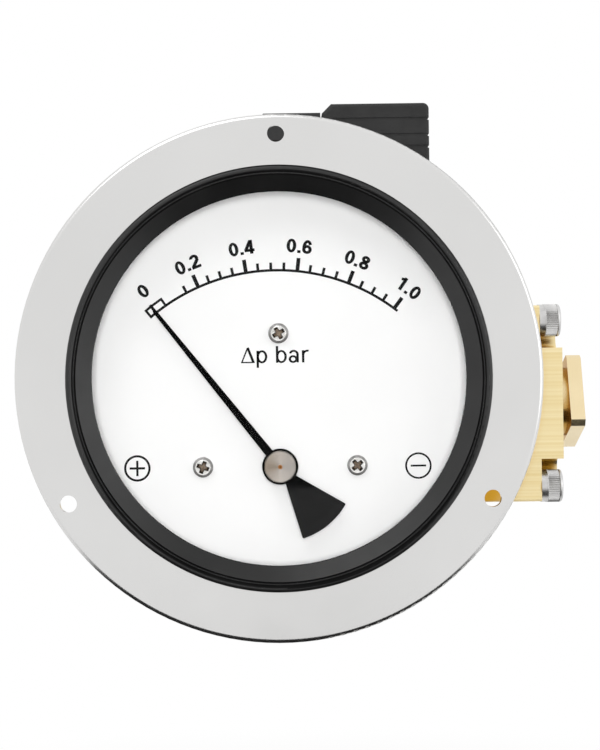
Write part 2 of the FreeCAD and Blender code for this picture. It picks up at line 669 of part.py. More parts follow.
def make_pointer():
    turned_to_zero = Rotation(Vector(0, 1, 0), -value("zero_angle")) * FRONT
    body = piece(new_body("pointer", turned_to_zero, ("0", POINTER_BACK, "-pivot_drop")))
    blade = sketch_on(body, "XY_Plane")
    outline(
        blade,
        [
            ("-pointer_root_width / 2", "0"),
            ("pointer_root_width / 2", "0"),
            ("pointer_tip_width / 2", "pointer_length - pointer_point"),
            ("0", "pointer_length"),
            ("-pointer_tip_width / 2", "pointer_length - pointer_point"),
        ],
    )
    pad(body, blade, "pointer_thickness")
    across = "fan_radius * sin(fan_angle * 1 deg / 2)"
    down = "-fan_radius * cos(fan_angle * 1 deg / 2)"
    fan = sketch_on(body, "XY_Plane")
    outline(fan, [("0", "0"), (f"-{across}", down, "fan_radius", LEFT_OF_TRAVEL), (across, down)])
    pad(body, fan, "pointer_thickness")
    reach = value("fan_radius")

    def fan_corner(middle, ends):
        upright = abs(ends[0].z - ends[-1].z) > 1e-6
        return upright and abs(math.hypot(middle.x, middle.y) - reach) < 1e-6

    dress(body, "Fillet", "Radius", "fan_corner", fan_corner)
    eye = sketch_on(body, "XY_Plane")
    circle(eye, "0", "0", "pointer_eye / 2")
    pad(body, eye, "pointer_thickness")
    hole = sketch_on(body, "XY_Plane", "pointer_thickness")
    circle(hole, "0", "0", "hub_spigot / 2 + thread_clearance")
    cut(body, hole, "pointer_thickness")

    tip = "shaft_tip_diameter / 2"
    hub_front = "(pointer_thickness + hub_rise)"
    hub = turned(
        "pointer_hub",
        [
            (f"{tip} + thread_clearance", "-hub_collar_length"),
            ("hub_collar / 2", "-hub_collar_length"),
            ("hub_collar / 2", "0"),
            ("hub_spigot / 2", "0"),
            ("hub_spigot / 2", "pointer_thickness"),
            ("hub_diameter / 2", "pointer_thickness"),
            ("hub_diameter / 2", f"{hub_front} - hub_edge"),
            ("hub_diameter / 2 - hub_edge", hub_front),
            (f"{tip} + thread_clearance", hub_front),
        ],
        FRONT,
        ("0", POINTER_BACK, "-pivot_drop"),
    )
    piece(hub)
    collar_back = f"-({POINTER_BACK} + hub_collar_length)"
    tip_front = f"({hub_front} + shaft_tip_show - {POINTER_BACK})"
    tip_back = f"rear_bearing_floor + thread_clearance - {POCKET_END}"
    shaft = turned(
        "pointer_shaft",
        [
            ("0", tip_back),
            (tip, tip_back),
            (tip, f"-{SHAFT_SHOULDER}"),
            ("shaft_diameter / 2", f"-{SHAFT_SHOULDER}"),
            ("shaft_diameter / 2", collar_back),
            (tip, collar_back),
            (tip, tip_front),
            ("0", tip_front),
        ],
        FRONT,
        ("0", "0", "-pivot_drop"),
    )
    piece(shaft)


def make_movement():
    at = ("0", "0", "-pivot_drop")
    magnet_bore = "shaft_diameter / 2 + thread_clearance"
    magnet_front = f"follower_length - {SHAFT_SHOULDER}"
    magnet_back = f"-{SHAFT_SHOULDER}"
    piece(
        ring("follower_magnet", magnet_bore, "follower_diameter / 2", magnet_back, magnet_front, FRONT, at)
    )
    shaft_hole = "shaft_diameter / 2 + running_clearance"
    plug = "pocket_diameter / 2 - thread_clearance"
    front = turned(
        "front_bearing",
        [
            (shaft_hole, "-(cup_depth + bearing_length)"),
            (plug, "-(cup_depth + bearing_length)"),
            (plug, "-cup_depth"),
            ("bearing_flange / 2", "-cup_depth"),
            ("bearing_flange / 2", "cup_wall - cup_depth"),
            (shaft_hole, "cup_wall - cup_depth"),
        ],
        FRONT,
        at,
    )
    piece(front)
    tip_hole = "shaft_tip_diameter / 2 + running_clearance"
    floor = f"rear_bearing_floor - {POCKET_END}"
    rear = turned(
        "rear_bearing",
        [
            ("0", f"-{POCKET_END}"),
            (plug, f"-{POCKET_END}"),
            (plug, f"-{BEARING_FRONT}"),
            (tip_hole, f"-{BEARING_FRONT}"),
            (tip_hole, floor),
            ("0", floor),
        ],
        FRONT,
        at,
    )
    piece(rear)


def along_bar(middle, ends):
    """True for the long edges of the square bar that the block and its cap are cut from."""
    half = value("block_width / 2")
    return abs(abs(middle.x) - half) < 1e-6 and abs(abs(middle.y) - half) < 1e-6


def make_block():
    at = ("0", PISTON_DEPTH, PISTON_LEVEL)
    body = piece(new_body("body_block", RIGHT, at))
    bar = sketch_on(body, "XY_Plane", "-block_left")
    centred_rectangle(bar, "block_width", "block_width")
    pad(body, bar, "block_left + cap_joint")
    dress(body, "Chamfer", "Size", "block_edge", along_bar)

    for radius, depth in (
        ("chamber_diameter / 2", "chamber_depth"),
        ("bore_diameter / 2", "cap_joint + bore_stop"),
    ):
        hole = sketch_on(body, "XY_Plane", "cap_joint")
        circle(hole, "0", "0", radius)
        cut(body, hole, depth)
    for radius, depth in (
        ("port_thread / 2 + thread_clearance", "bush_shank + port_thread_extra"),
        ("passage_diameter / 2", "block_left - bore_stop"),
    ):
        hole = sketch_on(body, "XY_Plane", "-block_left")
        circle(hole, "0", "0", radius)
        cut(body, hole, depth, forward=True)
    tapped = sketch_on(body, "XY_Plane", "cap_joint")
    screw_circles(tapped, "cap_screw_diameter / 2 + thread_clearance")
    cut(body, tapped, "cap_screw_grip + tapped_extra")

    pocket = sketch_on(body, "YZ_Plane", "-block_width / 2")
    circle(pocket, f"-{AXIS_RISE}", "0", "pocket_diameter / 2")
    cut(body, pocket, f"{POCKET_END} - cup_depth", forward=True)
    studs = sketch_on(body, "YZ_Plane", "-block_width / 2")
    for x, z in STUDS:
        circle(studs, f"{z} - {PISTON_LEVEL}", x, "stud_diameter / 2 + thread_clearance")
    cut(body, studs, "stud_length + tapped_extra", forward=True)

    stem = sketch_on(body, "XZ_Plane", "-block_width / 2")
    circle(stem, "0", "switch_place", "stem_diameter / 2 + fit_clearance")
    cut(body, stem, "stem_length", forward=True)
    feet = sketch_on(body, "XZ_Plane", "-block_width / 2")
    for side in ("", "-"):
        circle(
            feet,
            f"{side}{FOOT_SCREW}",
            "switch_place",
            "foot_screw_diameter / 2 + thread_clearance",
        )
    cut(body, feet, "foot_screw_length + tapped_extra", forward=True)


def screw_circles(sketch, radius):
    """Four circles at the cap screws' places."""
    for x in ("", "-"):
        for y in ("", "-"):
            circle(sketch, f"{x}{SCREW_OFFSET}", f"{y}{SCREW_OFFSET}", radius)


def make_cap():
    at = ("0", PISTON_DEPTH, PISTON_LEVEL)
    body = piece(new_body("low_side_cap", RIGHT, at))
    bar = sketch_on(body, "XY_Plane", "cap_joint")
    centred_rectangle(bar, "block_width", "block_width")
    pad(body, bar, "cap_thickness + boss_rise")
    dress(body, "Chamfer", "Size", "block_edge", along_bar)
    near = "block_width / 2 - corner_pocket"
    corner = sketch_on(body, "XY_Plane", BOSS_FACE)
    outline(
        corner,
        [
            ("block_width / 2", near),
            ("block_width / 2", "block_width / 2"),
            (near, "block_width / 2"),
            (near, f"{near} + corner_pocket_radius", "corner_pocket_radius", LEFT_OF_TRAVEL),
            (f"{near} + corner_pocket_radius", near),
        ],
    )
    repeat_round(body, cut(body, corner, "boss_rise"), "4")

    rim = sketch_on(body, "XY_Plane", "cap_joint")
    circle(rim, "0", "0", f"{DIAPHRAGM_RADIUS} + fit_clearance")
    cut(body, rim, "diaphragm_thickness", forward=True)
    chamber = sketch_on(body, "XY_Plane", "cap_joint")
    circle(chamber, "0", "0", "chamber_diameter / 2")
    cut(body, chamber, "cap_chamber_depth", forward=True)
    port = sketch_on(body, "XY_Plane", BOSS_FACE)
    circle(port, "0", "0", "port_thread / 2 + thread_clearance")
    cut(body, port, "cap_thickness + boss_rise - cap_chamber_depth")
    holes = sketch_on(body, "XY_Plane", CAP_FACE)
    screw_circles(holes, "cap_screw_diameter / 2 + cap_screw_room")
    cut(body, holes, "cap_thickness")


def make_cap_screws():
    shank = "(cap_thickness + cap_screw_grip + washer_thickness)"
    screw = turned(
        "cap_screw",
        [
            ("0", f"-{shank}"),
            ("cap_screw_diameter / 2", f"-{shank}"),
            ("cap_screw_diameter / 2", "0"),
            ("cap_screw_head / 2", "0"),
            ("cap_screw_head / 2", "cap_screw_head_rise - cap_screw_head_edge"),
            ("cap_screw_head / 2 - cap_screw_head_edge", "cap_screw_head_rise"),
            ("0", "cap_screw_head_rise"),
        ],
        RIGHT,
        ("0", "0", "0"),
    )
    socket = sketch_on(screw, "XY_Plane", "cap_screw_head_rise")
    hexagon(socket, "cap_screw_key")
    cut(screw, socket, "cap_screw_key_depth")
    corners = [
        (f"{PISTON_DEPTH} + {y}{SCREW_OFFSET}", f"{PISTON_LEVEL} + {z}{SCREW_OFFSET}")
        for y in ("", "-")
        for z in ("", "-")
    ]
    group("cap_screws", screw, [(f"{CAP_FACE} + washer_thickness", y, z) for y, z in corners])

    washer = ring(
        "spring_washer",
        "cap_screw_diameter / 2 + fit_clearance",
        "washer_diameter / 2",
        "0",
        "washer_thickness",
        RIGHT,
        ("0", "0", "0"),
    )
    slot = sketch_on(washer, "XY_Plane", "washer_thickness")
    rectangle(slot, "0", "-washer_gap / 2", "washer_diameter", "washer_gap / 2")
    cut(washer, slot, "washer_thickness")
    group("spring_washers", washer, [(CAP_FACE, y, z) for y, z in corners])


def make_piston():
    at = ("0", PISTON_DEPTH, PISTON_LEVEL)
    core = "piston_core / 2"
    rod_end = f"({NUT_START} + nut_height + rod_end_show)"
    outside = "bore_diameter / 2 - running_clearance"
    piston = turned(
        "magnet_piston",
        [
            (core, PISTON_START),
            (outside, PISTON_START),
            (outside, PISTON_END),
            ("piston_rod / 2", PISTON_END),
            ("piston_rod / 2", INNER_PLATE),
            ("rod_thread / 2", INNER_PLATE),
            ("rod_thread / 2", rod_end),
            ("0", rod_end),
            ("0", CORE_END),
            (core, CORE_END),
        ],
        RIGHT,
        at,
    )
    piece(piston)
    first_magnet = f"({PISTON_START} + piston_plug_length)"
    spacer = f"({first_magnet} + magnet_length)"
    second_magnet = f"({CORE_END} - magnet_length)"
    for label, low, high in (
        ("piston_plug", PISTON_START, first_magnet),
        ("piston_magnet", first_magnet, spacer),
        ("magnet_spacer", spacer, second_magnet),
        ("switch_magnet", second_magnet, CORE_END),
    ):
        radius = f"{core} - thread_clearance"
        corners = [("0", low), (radius, low), (radius, high), ("0", high)]
        piece(turned(label, corners, RIGHT, at))

    rod_hole = "rod_thread / 2 + thread_clearance"
    for label, low in (("inner_plate", INNER_PLATE), ("outer_plate", OUTER_PLATE)):
        high = f"{low} + plate_thickness"
        piece(ring(label, rod_hole, f"{ROLL} - {FOLD} - plate_room", low, high, RIGHT, at))
    nut = piece(new_body("plate_nut", RIGHT, at))
    blank = sketch_on(nut, "XY_Plane", NUT_START)
    hexagon(blank, "nut_across")
    circle(blank, "0", "0", rod_hole)
    pad(nut, blank, "nut_height")

    low = "cap_joint"
    high = "(cap_joint + diaphragm_thickness)"
    diaphragm = turned(
        "diaphragm",
        [
            (rod_hole, low),
            (f"{ROLL} - roll_radius", low),
            (f"{ROLL} - roll_radius", high, "roll_radius", RIGHT_OF_TRAVEL),
            (ROLL, f"{high} + roll_radius", "roll_radius", RIGHT_OF_TRAVEL),
            (f"{ROLL} + roll_radius", high),
            (f"{ROLL} + roll_radius", low),
            (DIAPHRAGM_RADIUS, low),
            (DIAPHRAGM_RADIUS, high),
            (f"{ROLL} + {FOLD}", high, FOLD, LEFT_OF_TRAVEL),
            (ROLL, f"{high} + {FOLD}", FOLD, LEFT_OF_TRAVEL),
            (f"{ROLL} - {FOLD}", high),
            (rod_hole, high),
        ],
        RIGHT,
        at,
    )
    piece(diaphragm)


def make_range_spring():
    """A coiled wire in half turns: each is half a torus, tilted to climb half the pitch."""
    start = f"({NUT_START} + spring_seat_gap + spring_wire / 2)"
    length = f"({SPRING_END} - spring_seat_gap - spring_wire / 2 - {start})"
    half_pitch = f"({length} / spring_half_turns)"
    climb = f"({half_pitch} / 2)"
    tilt = math.degrees(math.atan2(value(climb), value("spring_diameter / 2")))
    turns = []
    for number in range(int(value("spring_half_turns"))):
        turn = doc.addObject("Part::Torus", f"range_spring_turn_{number + 1}")
        bind(turn, "Radius1", f"sqrt((spring_diameter / 2) ^ 2 + {climb} ^ 2)")
        bind(turn, "Radius2", "spring_wire / 2")
        turn.Angle3 = 180
        back = number % 2
        tilted = Rotation(Vector(0, 1, 0), -tilt if back else tilt)
        along = f"{start} + {number} * {half_pitch} + {climb}"
        half_turn = Rotation(Vector(0, 0, 1), 180 * back)
        place(turn, RIGHT * tilted * half_turn, (along, PISTON_DEPTH, PISTON_LEVEL))
        turns.append(turn)
    spring = doc.addObject("Part::MultiFuse", "range_spring")
    spring.Shapes = turns
    doc.recompute()
    piece(spring)


def make_port(side, seat, rotation):
    """A port bush with its copper washer, screwed in against a flat seat."""
    at = (seat, PISTON_DEPTH, PISTON_LEVEL)
    head = "(seal_thickness + bush_neck)"
    mouth = f"({head} + bush_head)"
    neck = "port_thread / 2 + bush_shoulder"
    about_axis = Rotation(Vector(1, 0, 0), -value("bush_turn"))
    bush = turned(
        f"{side}_port_bush",
        [
            ("bush_bore / 2", "-bush_shank"),
            ("port_thread / 2", "-bush_shank"),
            ("port_thread / 2", "seal_thickness"),
            (neck, "seal_thickness"),
            (neck, head),
            ("bush_bore / 2", head),
        ],
        about_axis * rotation,
        at,
    )
    flat = "bush_across / 2"
    radius = "(bush_across / sqrt(2) - bush_corner_cut)"
    corner = f"sqrt({radius} ^ 2 - bush_across ^ 2 / 4)"
    square = sketch_on(bush, "XY_Plane", head)
    outline(
        square,
        [
            (flat, f"-{corner}"),
            (flat, corner, radius, LEFT_OF_TRAVEL),
            (corner, flat),
            (f"-{corner}", flat, radius, LEFT_OF_TRAVEL),
            (f"-{flat}", corner),
            (f"-{flat}", f"-{corner}", radius, LEFT_OF_TRAVEL),
            (f"-{corner}", f"-{flat}"),
            (corner, f"-{flat}", radius, LEFT_OF_TRAVEL),
        ],
    )
    circle(square, "0", "0", "bush_bore / 2")
    pad(bush, square, "bush_head")
    mouth_height = value(mouth)
    bore = value("bush_bore / 2")

    def at_mouth(middle, ends):
        return abs(middle.z - mouth_height) < 1e-6 and abs(math.hypot(middle.x, middle.y) - bore) < 1e-6

    dress(bush, "Chamfer", "Size", "bush_mouth", at_mouth)
    piece(bush)
    washer_hole = "port_thread / 2 + fit_clearance"
    washer_edge = f"{washer_hole} + seal_width"
    seal_name = f"{side}_port_seal"
    piece(ring(seal_name, washer_hole, washer_edge, "0", "seal_thickness", rotation, at))


def blade_places():
    """Contact blades about the middle of the base: x, y, width and depth of each."""
    flat = ("blade_thickness", "blade_width")
    across = ("blade_width", "blade_thickness")
    return [
        ("blade_reach", "0", *flat),
        ("-blade_reach", "0", *flat),
        ("0", "blade_reach", *across),
        ("0", "-blade_reach", *across),
    ]


def blade_slots(sketch, room):
    for x, y, width, depth in blade_places():
        half_width = f"({width} / 2 + {room})"
        half_depth = f"({depth} / 2 + {room})"
        rectangle(
            sketch,
            f"{x} - {half_width}",
            f"{y} - {half_depth}",
            f"{x} + {half_width}",
            f"{y} + {half_depth}",
        )


def upright_edges(half_width, half_depth):
    """A test for the four upright corner edges of a block about the z axis."""

    def test(middle, ends):
        return abs(abs(middle.x) - half_width) < 1e-6 and abs(abs(middle.y) - half_depth) < 1e-6

    return test


def make_switch():
    at = ("switch_place", PISTON_DEPTH, BLOCK_TOP)
    body = piece(new_body("switch_housing", UP, at))
    tower = sketch_on(body, "XY_Plane")
    centred_rectangle(tower, "switch_width", "switch_depth")
    pad(body, tower, "switch_height")
    corners = upright_edges(value("switch_width / 2"), value("switch_depth / 2"))
    dress(body, "Fillet", "Radius", "switch_corner", corners)
    foot = sketch_on(body, "XY_Plane")
    centred_rectangle(foot, "foot_width", f"2 * {FOOT_HALF}")
    pad(body, foot, "foot_height")
    base = sketch_on(body, "XY_Plane", "switch_height")
    centred_rectangle(base, BASE_WIDTH, BASE_DEPTH)
    pad(body, base, "base_height")
    stem = sketch_on(body, "XY_Plane", "-stem_length")
    circle(stem, "0", "0", "stem_diameter / 2")
    pad(body, stem, "stem_length")
    reed_hole = sketch_on(body, "XY_Plane", "-stem_length")
    circle(reed_hole, "0", "0", "reed_diameter / 2 + reed_room")
    cut(body, reed_hole, "reed_length", forward=True)
    slots = sketch_on(body, "XY_Plane", "switch_height + base_height")
    blade_slots(slots, "thread_clearance")
    cut(body, slots, "blade_root")
    tapped = sketch_on(body, "XY_Plane", "switch_height + base_height")
    circle(tapped, "0", "0", "plug_screw_diameter / 2 + thread_clearance")
    cut(body, tapped, "plug_screw_grip + tapped_extra")
    feet = sketch_on(body, "XY_Plane", "foot_height")
    for side in ("", "-"):
        circle(feet, "0", f"{side}{FOOT_SCREW}", "foot_screw_diameter / 2 + fit_clearance")
    cut(body, feet, "foot_height")

    reed = turned(
        "reed_switch",
        [
            ("0", "-stem_length"),
            ("reed_diameter / 2", "-stem_length"),
            ("reed_diameter / 2", "reed_length - stem_length"),
            ("0", "reed_length - stem_length"),
        ],
        UP,
        at,
    )
    piece(reed)
    screw = turned(
        "switch_screw",
        [
            ("0", "-(foot_height + foot_screw_length)"),
            ("foot_screw_diameter / 2", "-(foot_height + foot_screw_length)"),
            ("foot_screw_diameter / 2", "0"),
            ("foot_screw_head / 2", "0"),
            ("foot_screw_head / 2", "foot_screw_head_rise"),
            ("0", "foot_screw_head_rise"),
        ],
        UP,
        ("0", "0", "0"),
    )
    cross_recess(screw, "foot_screw_head_rise")
    spots = [f"{PISTON_DEPTH} {side} {FOOT_SCREW}" for side in "+-"]
    group("switch_screws", screw, [("switch_place", y, f"{BLOCK_TOP} + foot_height") for y in spots])
    make_blades()


def make_blades():
    """Four contact blades, each a plain strip with its place bound to the sheet."""
    strips = []
    low = f"{SWITCH_TOP} + base_height - blade_root"
    for number, (x, y, width, depth) in enumerate(blade_places(), 1):
        strip = doc.addObject("Part::Box", f"contact_blade_{number}")
        bind(strip, "Length", width)
        bind(strip, "Width", depth)
        bind(strip, "Height", "blade_root + blade_show")
        place(
            strip,
            UP,
            (f"switch_place + {x} - {width} / 2", f"{PISTON_DEPTH} + {y} - {depth} / 2", low),
        )
        strips.append(strip)
    blades = doc.addObject("Part::Compound", "contact_blades")
    blades.Links = strips
    doc.recompute()
    piece(blades)


def make_connector_gasket():
    gasket = piece(new_body("connector_gasket", UP, ("switch_place", PISTON_DEPTH, SWITCH_TOP)))
    frame = sketch_on(gasket, "XY_Plane")
    centred_rectangle(frame, "switch_width - 2 * plug_corner", f"{PLUG_DEPTH} - 2 * fit_clearance")
    centred_rectangle(frame, f"{BASE_WIDTH} + 2 * insert_room", f"{BASE_DEPTH} + 2 * insert_room")
    pad(gasket, frame, "joint_gasket")


def make_plug():
    at = ("switch_place", PISTON_DEPTH, PLUG_FOOT)
    half_width = "switch_width / 2"
    half_depth = f"({PLUG_DEPTH} / 2)"
    body = piece(new_body("plug_housing", UP, at))
    side = sketch_on(body, "XZ_Plane", f"-{half_depth}")
    outline(
        side,
        [
            (f"-{half_width}", "0"),
            (half_width, "0"),
            (half_width, "plug_height - plug_shoulder", "plug_shoulder", LEFT_OF_TRAVEL),
            (f"{half_width} - plug_shoulder", "plug_height"),
            (f"plug_slope - {half_width}", "plug_height"),
            (f"-{half_width}", "plug_height - plug_slope"),
        ],
    )
    pad(body, side, PLUG_DEPTH)
    face = value(half_depth)

    def round_face(middle, ends):
        return abs(abs(middle.y) - face) < 1e-6 and middle.z > 1e-6

    dress(body, "Fillet", "Radius", "plug_corner", round_face)
    spigot = sketch_on(body, "YZ_Plane", f"-{half_width} - gland_spigot_length")
    circle(spigot, "0", GLAND_HEIGHT, "gland_spigot / 2")
    pad(body, spigot, "gland_spigot_length + plug_wall")
    hollow = sketch_on(body, "XY_Plane")
    centred_rectangle(hollow, "switch_width - 2 * plug_wall", f"{PLUG_DEPTH} - 2 * plug_wall")
    cut(body, hollow, "plug_height - plug_screw_sink - plug_wall", forward=True)
    way = sketch_on(body, "YZ_Plane", f"-{half_width} - gland_spigot_length")
    circle(way, "0", GLAND_HEIGHT, "gland_way / 2")
    cut(body, way, "gland_spigot_length + plug_wall", forward=True)
    sink = sketch_on(body, "XY_Plane", "plug_height")
    circle(sink, "0", "0", "plug_screw_head / 2 + insert_room")
    cut(body, sink, "plug_screw_sink")
    screw_way = sketch_on(body, "XY_Plane", "plug_height - plug_screw_sink")
    circle(screw_way, "0", "0", "plug_screw_diameter / 2 + insert_room")
    cut(body, screw_way, "plug_wall")
    for drop in ("rib_first", "rib_second", "rib_third", "rib_fourth"):
        groove = sketch_on(body, "XY_Plane", f"plug_height - {drop} + rib_groove_width / 2")
        left = f"rib_margin - {half_width}"
        inner_depth = f"({half_depth} - rib_groove_depth)"
        outer_depth = f"({half_depth} + rib_groove_depth)"
        inner_right = f"({half_width} - rib_groove_depth)"
        outer_right = f"({half_width} + rib_groove_depth)"
        outline(
            groove,
            [
                (left, f"-{outer_depth}"),
                (outer_right, f"-{outer_depth}"),
                (outer_right, outer_depth),
                (left, outer_depth),
                (left, inner_depth),
                (inner_right, inner_depth),
                (inner_right, f"-{inner_depth}"),
                (left, f"-{inner_depth}"),
            ],
        )
        cut(body, groove, "rib_groove_width")

    insert = piece(new_body("plug_insert", UP, at))
    insert_low = "base_height - joint_gasket + insert_gap"
    block = sketch_on(insert, "XY_Plane", insert_low)
    room = "2 * (plug_wall + insert_room)"
    centred_rectangle(block, f"switch_width - {room}", f"{PLUG_DEPTH} - {room}")
    circle(block, "0", "0", "plug_screw_diameter / 2 + insert_room")
    pad(insert, block, "insert_height")
    slots = sketch_on(insert, "XY_Plane", insert_low)
    blade_slots(slots, "insert_room")
    cut(insert, slots, "blade_show", forward=True)

    seat = "(plug_height - plug_screw_sink)"
    tip = "(base_height - joint_gasket - plug_screw_grip)"
    screw = turned(
        "plug_screw",
        [
            ("0", tip),
            ("plug_screw_diameter / 2", tip),
            ("plug_screw_diameter / 2", seat),
            ("plug_screw_head / 2", seat),
            ("plug_screw_head / 2", f"{seat} + plug_screw_head_rise"),
            ("0", f"{seat} + plug_screw_head_rise"),
        ],
        UP,
        at,
    )
    cross_recess(screw, f"{seat} + plug_screw_head_rise")
    piece(screw)


def make_gland():
    at = (PLUG_LEFT, PISTON_DEPTH, f"{PLUG_FOOT} + {GLAND_HEIGHT}")
    nut = piece(new_body("gland_nut", LEFT, at))
    blank = sketch_on(nut, "XY_Plane", "gland_nut_start")
    hexagon(blank, "gland_nut_across")
    circle(blank, "0", "0", "gland_bore / 2")
    pad(nut, blank, "gland_nut_length")
    end_height = value(GLAND_END)
    bore = value("gland_bore / 2")

    def outer_end(middle, ends):
        return abs(middle.z - end_height) < 1e-6 and math.hypot(middle.x, middle.y) > bore + 1e-6

    dress(nut, "Chamfer", "Size", "gland_nut_edge", outer_end)
    thread = sketch_on(nut, "XY_Plane", "gland_nut_start")
    circle(thread, "0", "0", "gland_spigot / 2 + thread_clearance")
    cut(nut, thread, "gland_nut_length - gland_nut_floor", forward=True)
    seal = ring(
        "gland_seal",
        "gland_seal_bore / 2",
        "gland_spigot / 2 - fit_clearance",
        "gland_spigot_length",
        f"{GLAND_END} - gland_nut_floor",
        LEFT,
        at,
    )
    piece(seal)


def check_document():
    """Stops on any object that failed, and on any sub-part without a sound shape."""
    for thing in doc.Objects:
        if {"Invalid", "Error"} & set(thing.State):
            raise ValueError(f"{thing.Name} failed: {thing.State}")
    for thing in pieces:
        if thing.Shape.isNull() or not thing.Shape.isValid():
            raise ValueError(f"{thing.Label} has no sound shape")


def write_pieces():
    os.makedirs("parts", exist_ok=True)
    for thing in pieces:
        thing.Shape.exportStep(os.path.join("parts", f"{thing.Label}.step"))
        solids = len(thing.Shape.Solids)
        print(f"{thing.Label}: {solids} solid(s), {thing.Shape.Volume / 1000:.2f} cm3")


fill_sheet()
make_case()
make_window()
make_dial()
make_pointer()
make_movement()
make_block()
make_cap()
make_cap_screws()
make_piston()
make_range_spring()
make_port("low", BOSS_FACE, RIGHT)
make_port("high", "-block_left", LEFT)
make_switch()
make_connector_gasket()
make_plug()
make_gland()
doc.recompute()
check_document()
write_pieces()
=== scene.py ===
# %% [markdown]
# # Dressing a differential pressure gauge
# The solids of this gauge come from CAD, and they stay exactly where CAD puts them.
# This lesson gives them a camera, a small white studio and finishes made of nodes.
# It also models what is easier to make here: the dial's printing, the heads of the screws,
# the port threads, a spring and a diaphragm; in the real gauge the last two give way when
# the piston moves.

# %% Load the fixed frame
import math

import bpy
from mathutils import Matrix, Vector


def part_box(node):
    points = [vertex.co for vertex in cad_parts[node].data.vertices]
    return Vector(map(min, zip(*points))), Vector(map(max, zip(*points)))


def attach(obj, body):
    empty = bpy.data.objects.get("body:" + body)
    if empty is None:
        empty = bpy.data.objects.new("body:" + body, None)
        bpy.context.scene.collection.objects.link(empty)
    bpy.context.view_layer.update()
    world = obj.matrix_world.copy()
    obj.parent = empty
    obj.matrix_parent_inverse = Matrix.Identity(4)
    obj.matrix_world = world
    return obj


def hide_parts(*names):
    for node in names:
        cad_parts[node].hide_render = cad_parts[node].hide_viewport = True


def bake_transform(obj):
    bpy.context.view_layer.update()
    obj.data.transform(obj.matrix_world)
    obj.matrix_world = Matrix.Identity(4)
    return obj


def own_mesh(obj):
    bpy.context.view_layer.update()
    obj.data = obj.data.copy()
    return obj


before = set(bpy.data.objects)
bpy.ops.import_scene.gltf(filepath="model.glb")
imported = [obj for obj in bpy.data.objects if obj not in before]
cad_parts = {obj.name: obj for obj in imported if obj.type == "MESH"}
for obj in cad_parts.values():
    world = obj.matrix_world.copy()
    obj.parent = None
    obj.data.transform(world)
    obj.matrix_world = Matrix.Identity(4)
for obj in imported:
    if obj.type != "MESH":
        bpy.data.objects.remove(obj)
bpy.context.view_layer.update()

MM = 0.001
scene = bpy.context.scene
print("nodes in the frame:", len(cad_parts))

# %% [markdown]
# ## The camera
# A panel gauge is photographed square to its dial, so the camera sits on the case's axis.
# Its distance could be guessed from the lens, but the block behind the flange gives it:
# the nearer the camera, the smaller the block looks beside the flange.
# The small shift places the gauge left of the middle, as in the picture.

# %% Put the camera on the axis of the case
CAMERA_DISTANCE = 472 * MM
CAMERA_ROLL = math.radians(0.8)
bpy.ops.object.camera_add(
    location=(0, -CAMERA_DISTANCE, 0), rotation=(math.radians(90), CAMERA_ROLL, 0)
)
camera = bpy.context.object
camera.data.lens = 80.8
camera.data.shift_x = 0.028
camera.data.shift_y = 0.0047
scene.camera = camera
print("camera lens", camera.data.lens, "mm")

# %% [markdown]
# ## Wiring nodes
# By hand, a node is added, its sockets are linked and its constants are typed in. These
# helpers do the same in one line: an input that is a socket is linked, any other is set.

# %% Helpers that wire nodes
WHITE = (1, 1, 1, 1)


def add_node(tree, kind, *inputs):
    """A new node, with its first inputs linked or set."""
    node = tree.nodes.new("ShaderNode" + kind)
    for socket, value in zip(node.inputs, inputs):
        if isinstance(value, bpy.types.NodeSocket):
            tree.links.new(value, socket)
        else:
            socket.default_value = value
    return node


def number(tree, operation, first, second):
    """What a Math node makes of two numbers."""
    node = add_node(tree, "Math", first, second)
    node.operation = operation
    return node.outputs["Value"]


def vector(tree, operation, first, second=(0, 0, 0)):
    """What a Vector Math node makes of one or two vectors."""
    node = add_node(tree, "VectorMath", first, second)
    node.operation = operation
    return node.outputs["Value" if operation == "LENGTH" else "Vector"]


def place_on(tree):
    """Where the point lies on its piece, in metres."""
    return add_node(tree, "TexCoord").outputs["Object"]


def spread_over(tree, amount, shut, clear, most=1.0):
    """0 where amount is shut or less, rising to most where it is clear or more."""
    rise = add_node(tree, "MapRange", amount, shut, clear, 0.0, most)
    rise.interpolation_type = "SMOOTHSTEP"
    return rise.outputs["Result"]


# %% [markdown]
# ## The studio
# The gauge hangs in white surroundings, as if held by its panel holes.
# A floor well below it takes the shadow, and turns to plain white away from the object.
# The world shows white to the camera, to metal and to glass, and lights the rest softly.

# %% Lay the floor
def start_from(primitive, name, **settings):
    """A new object from a primitive, added with nothing else selected."""
    bpy.ops.object.select_all(action="DESELECT")
    primitive(**settings)
    obj = bpy.context.object
    obj.name = name
    return obj


FLOOR_LEVEL = -0.17
floor = start_from(
    bpy.ops.mesh.primitive_plane_add, "studio_floor", size=8, location=(0, 0, FLOOR_LEVEL)
)
print("floor at", FLOOR_LEVEL, "m")


# %% Paint the floor
def seen_directly(tree):
    """1 for camera, glossy and transmission rays, 0 for the light that falls on things."""
    rays = add_node(tree, "LightPath").outputs
    seen = number(tree, "MAXIMUM", rays["Is Camera Ray"], rays["Is Glossy Ray"])
    return number(tree, "MAXIMUM", seen, rays["Is Transmission Ray"])


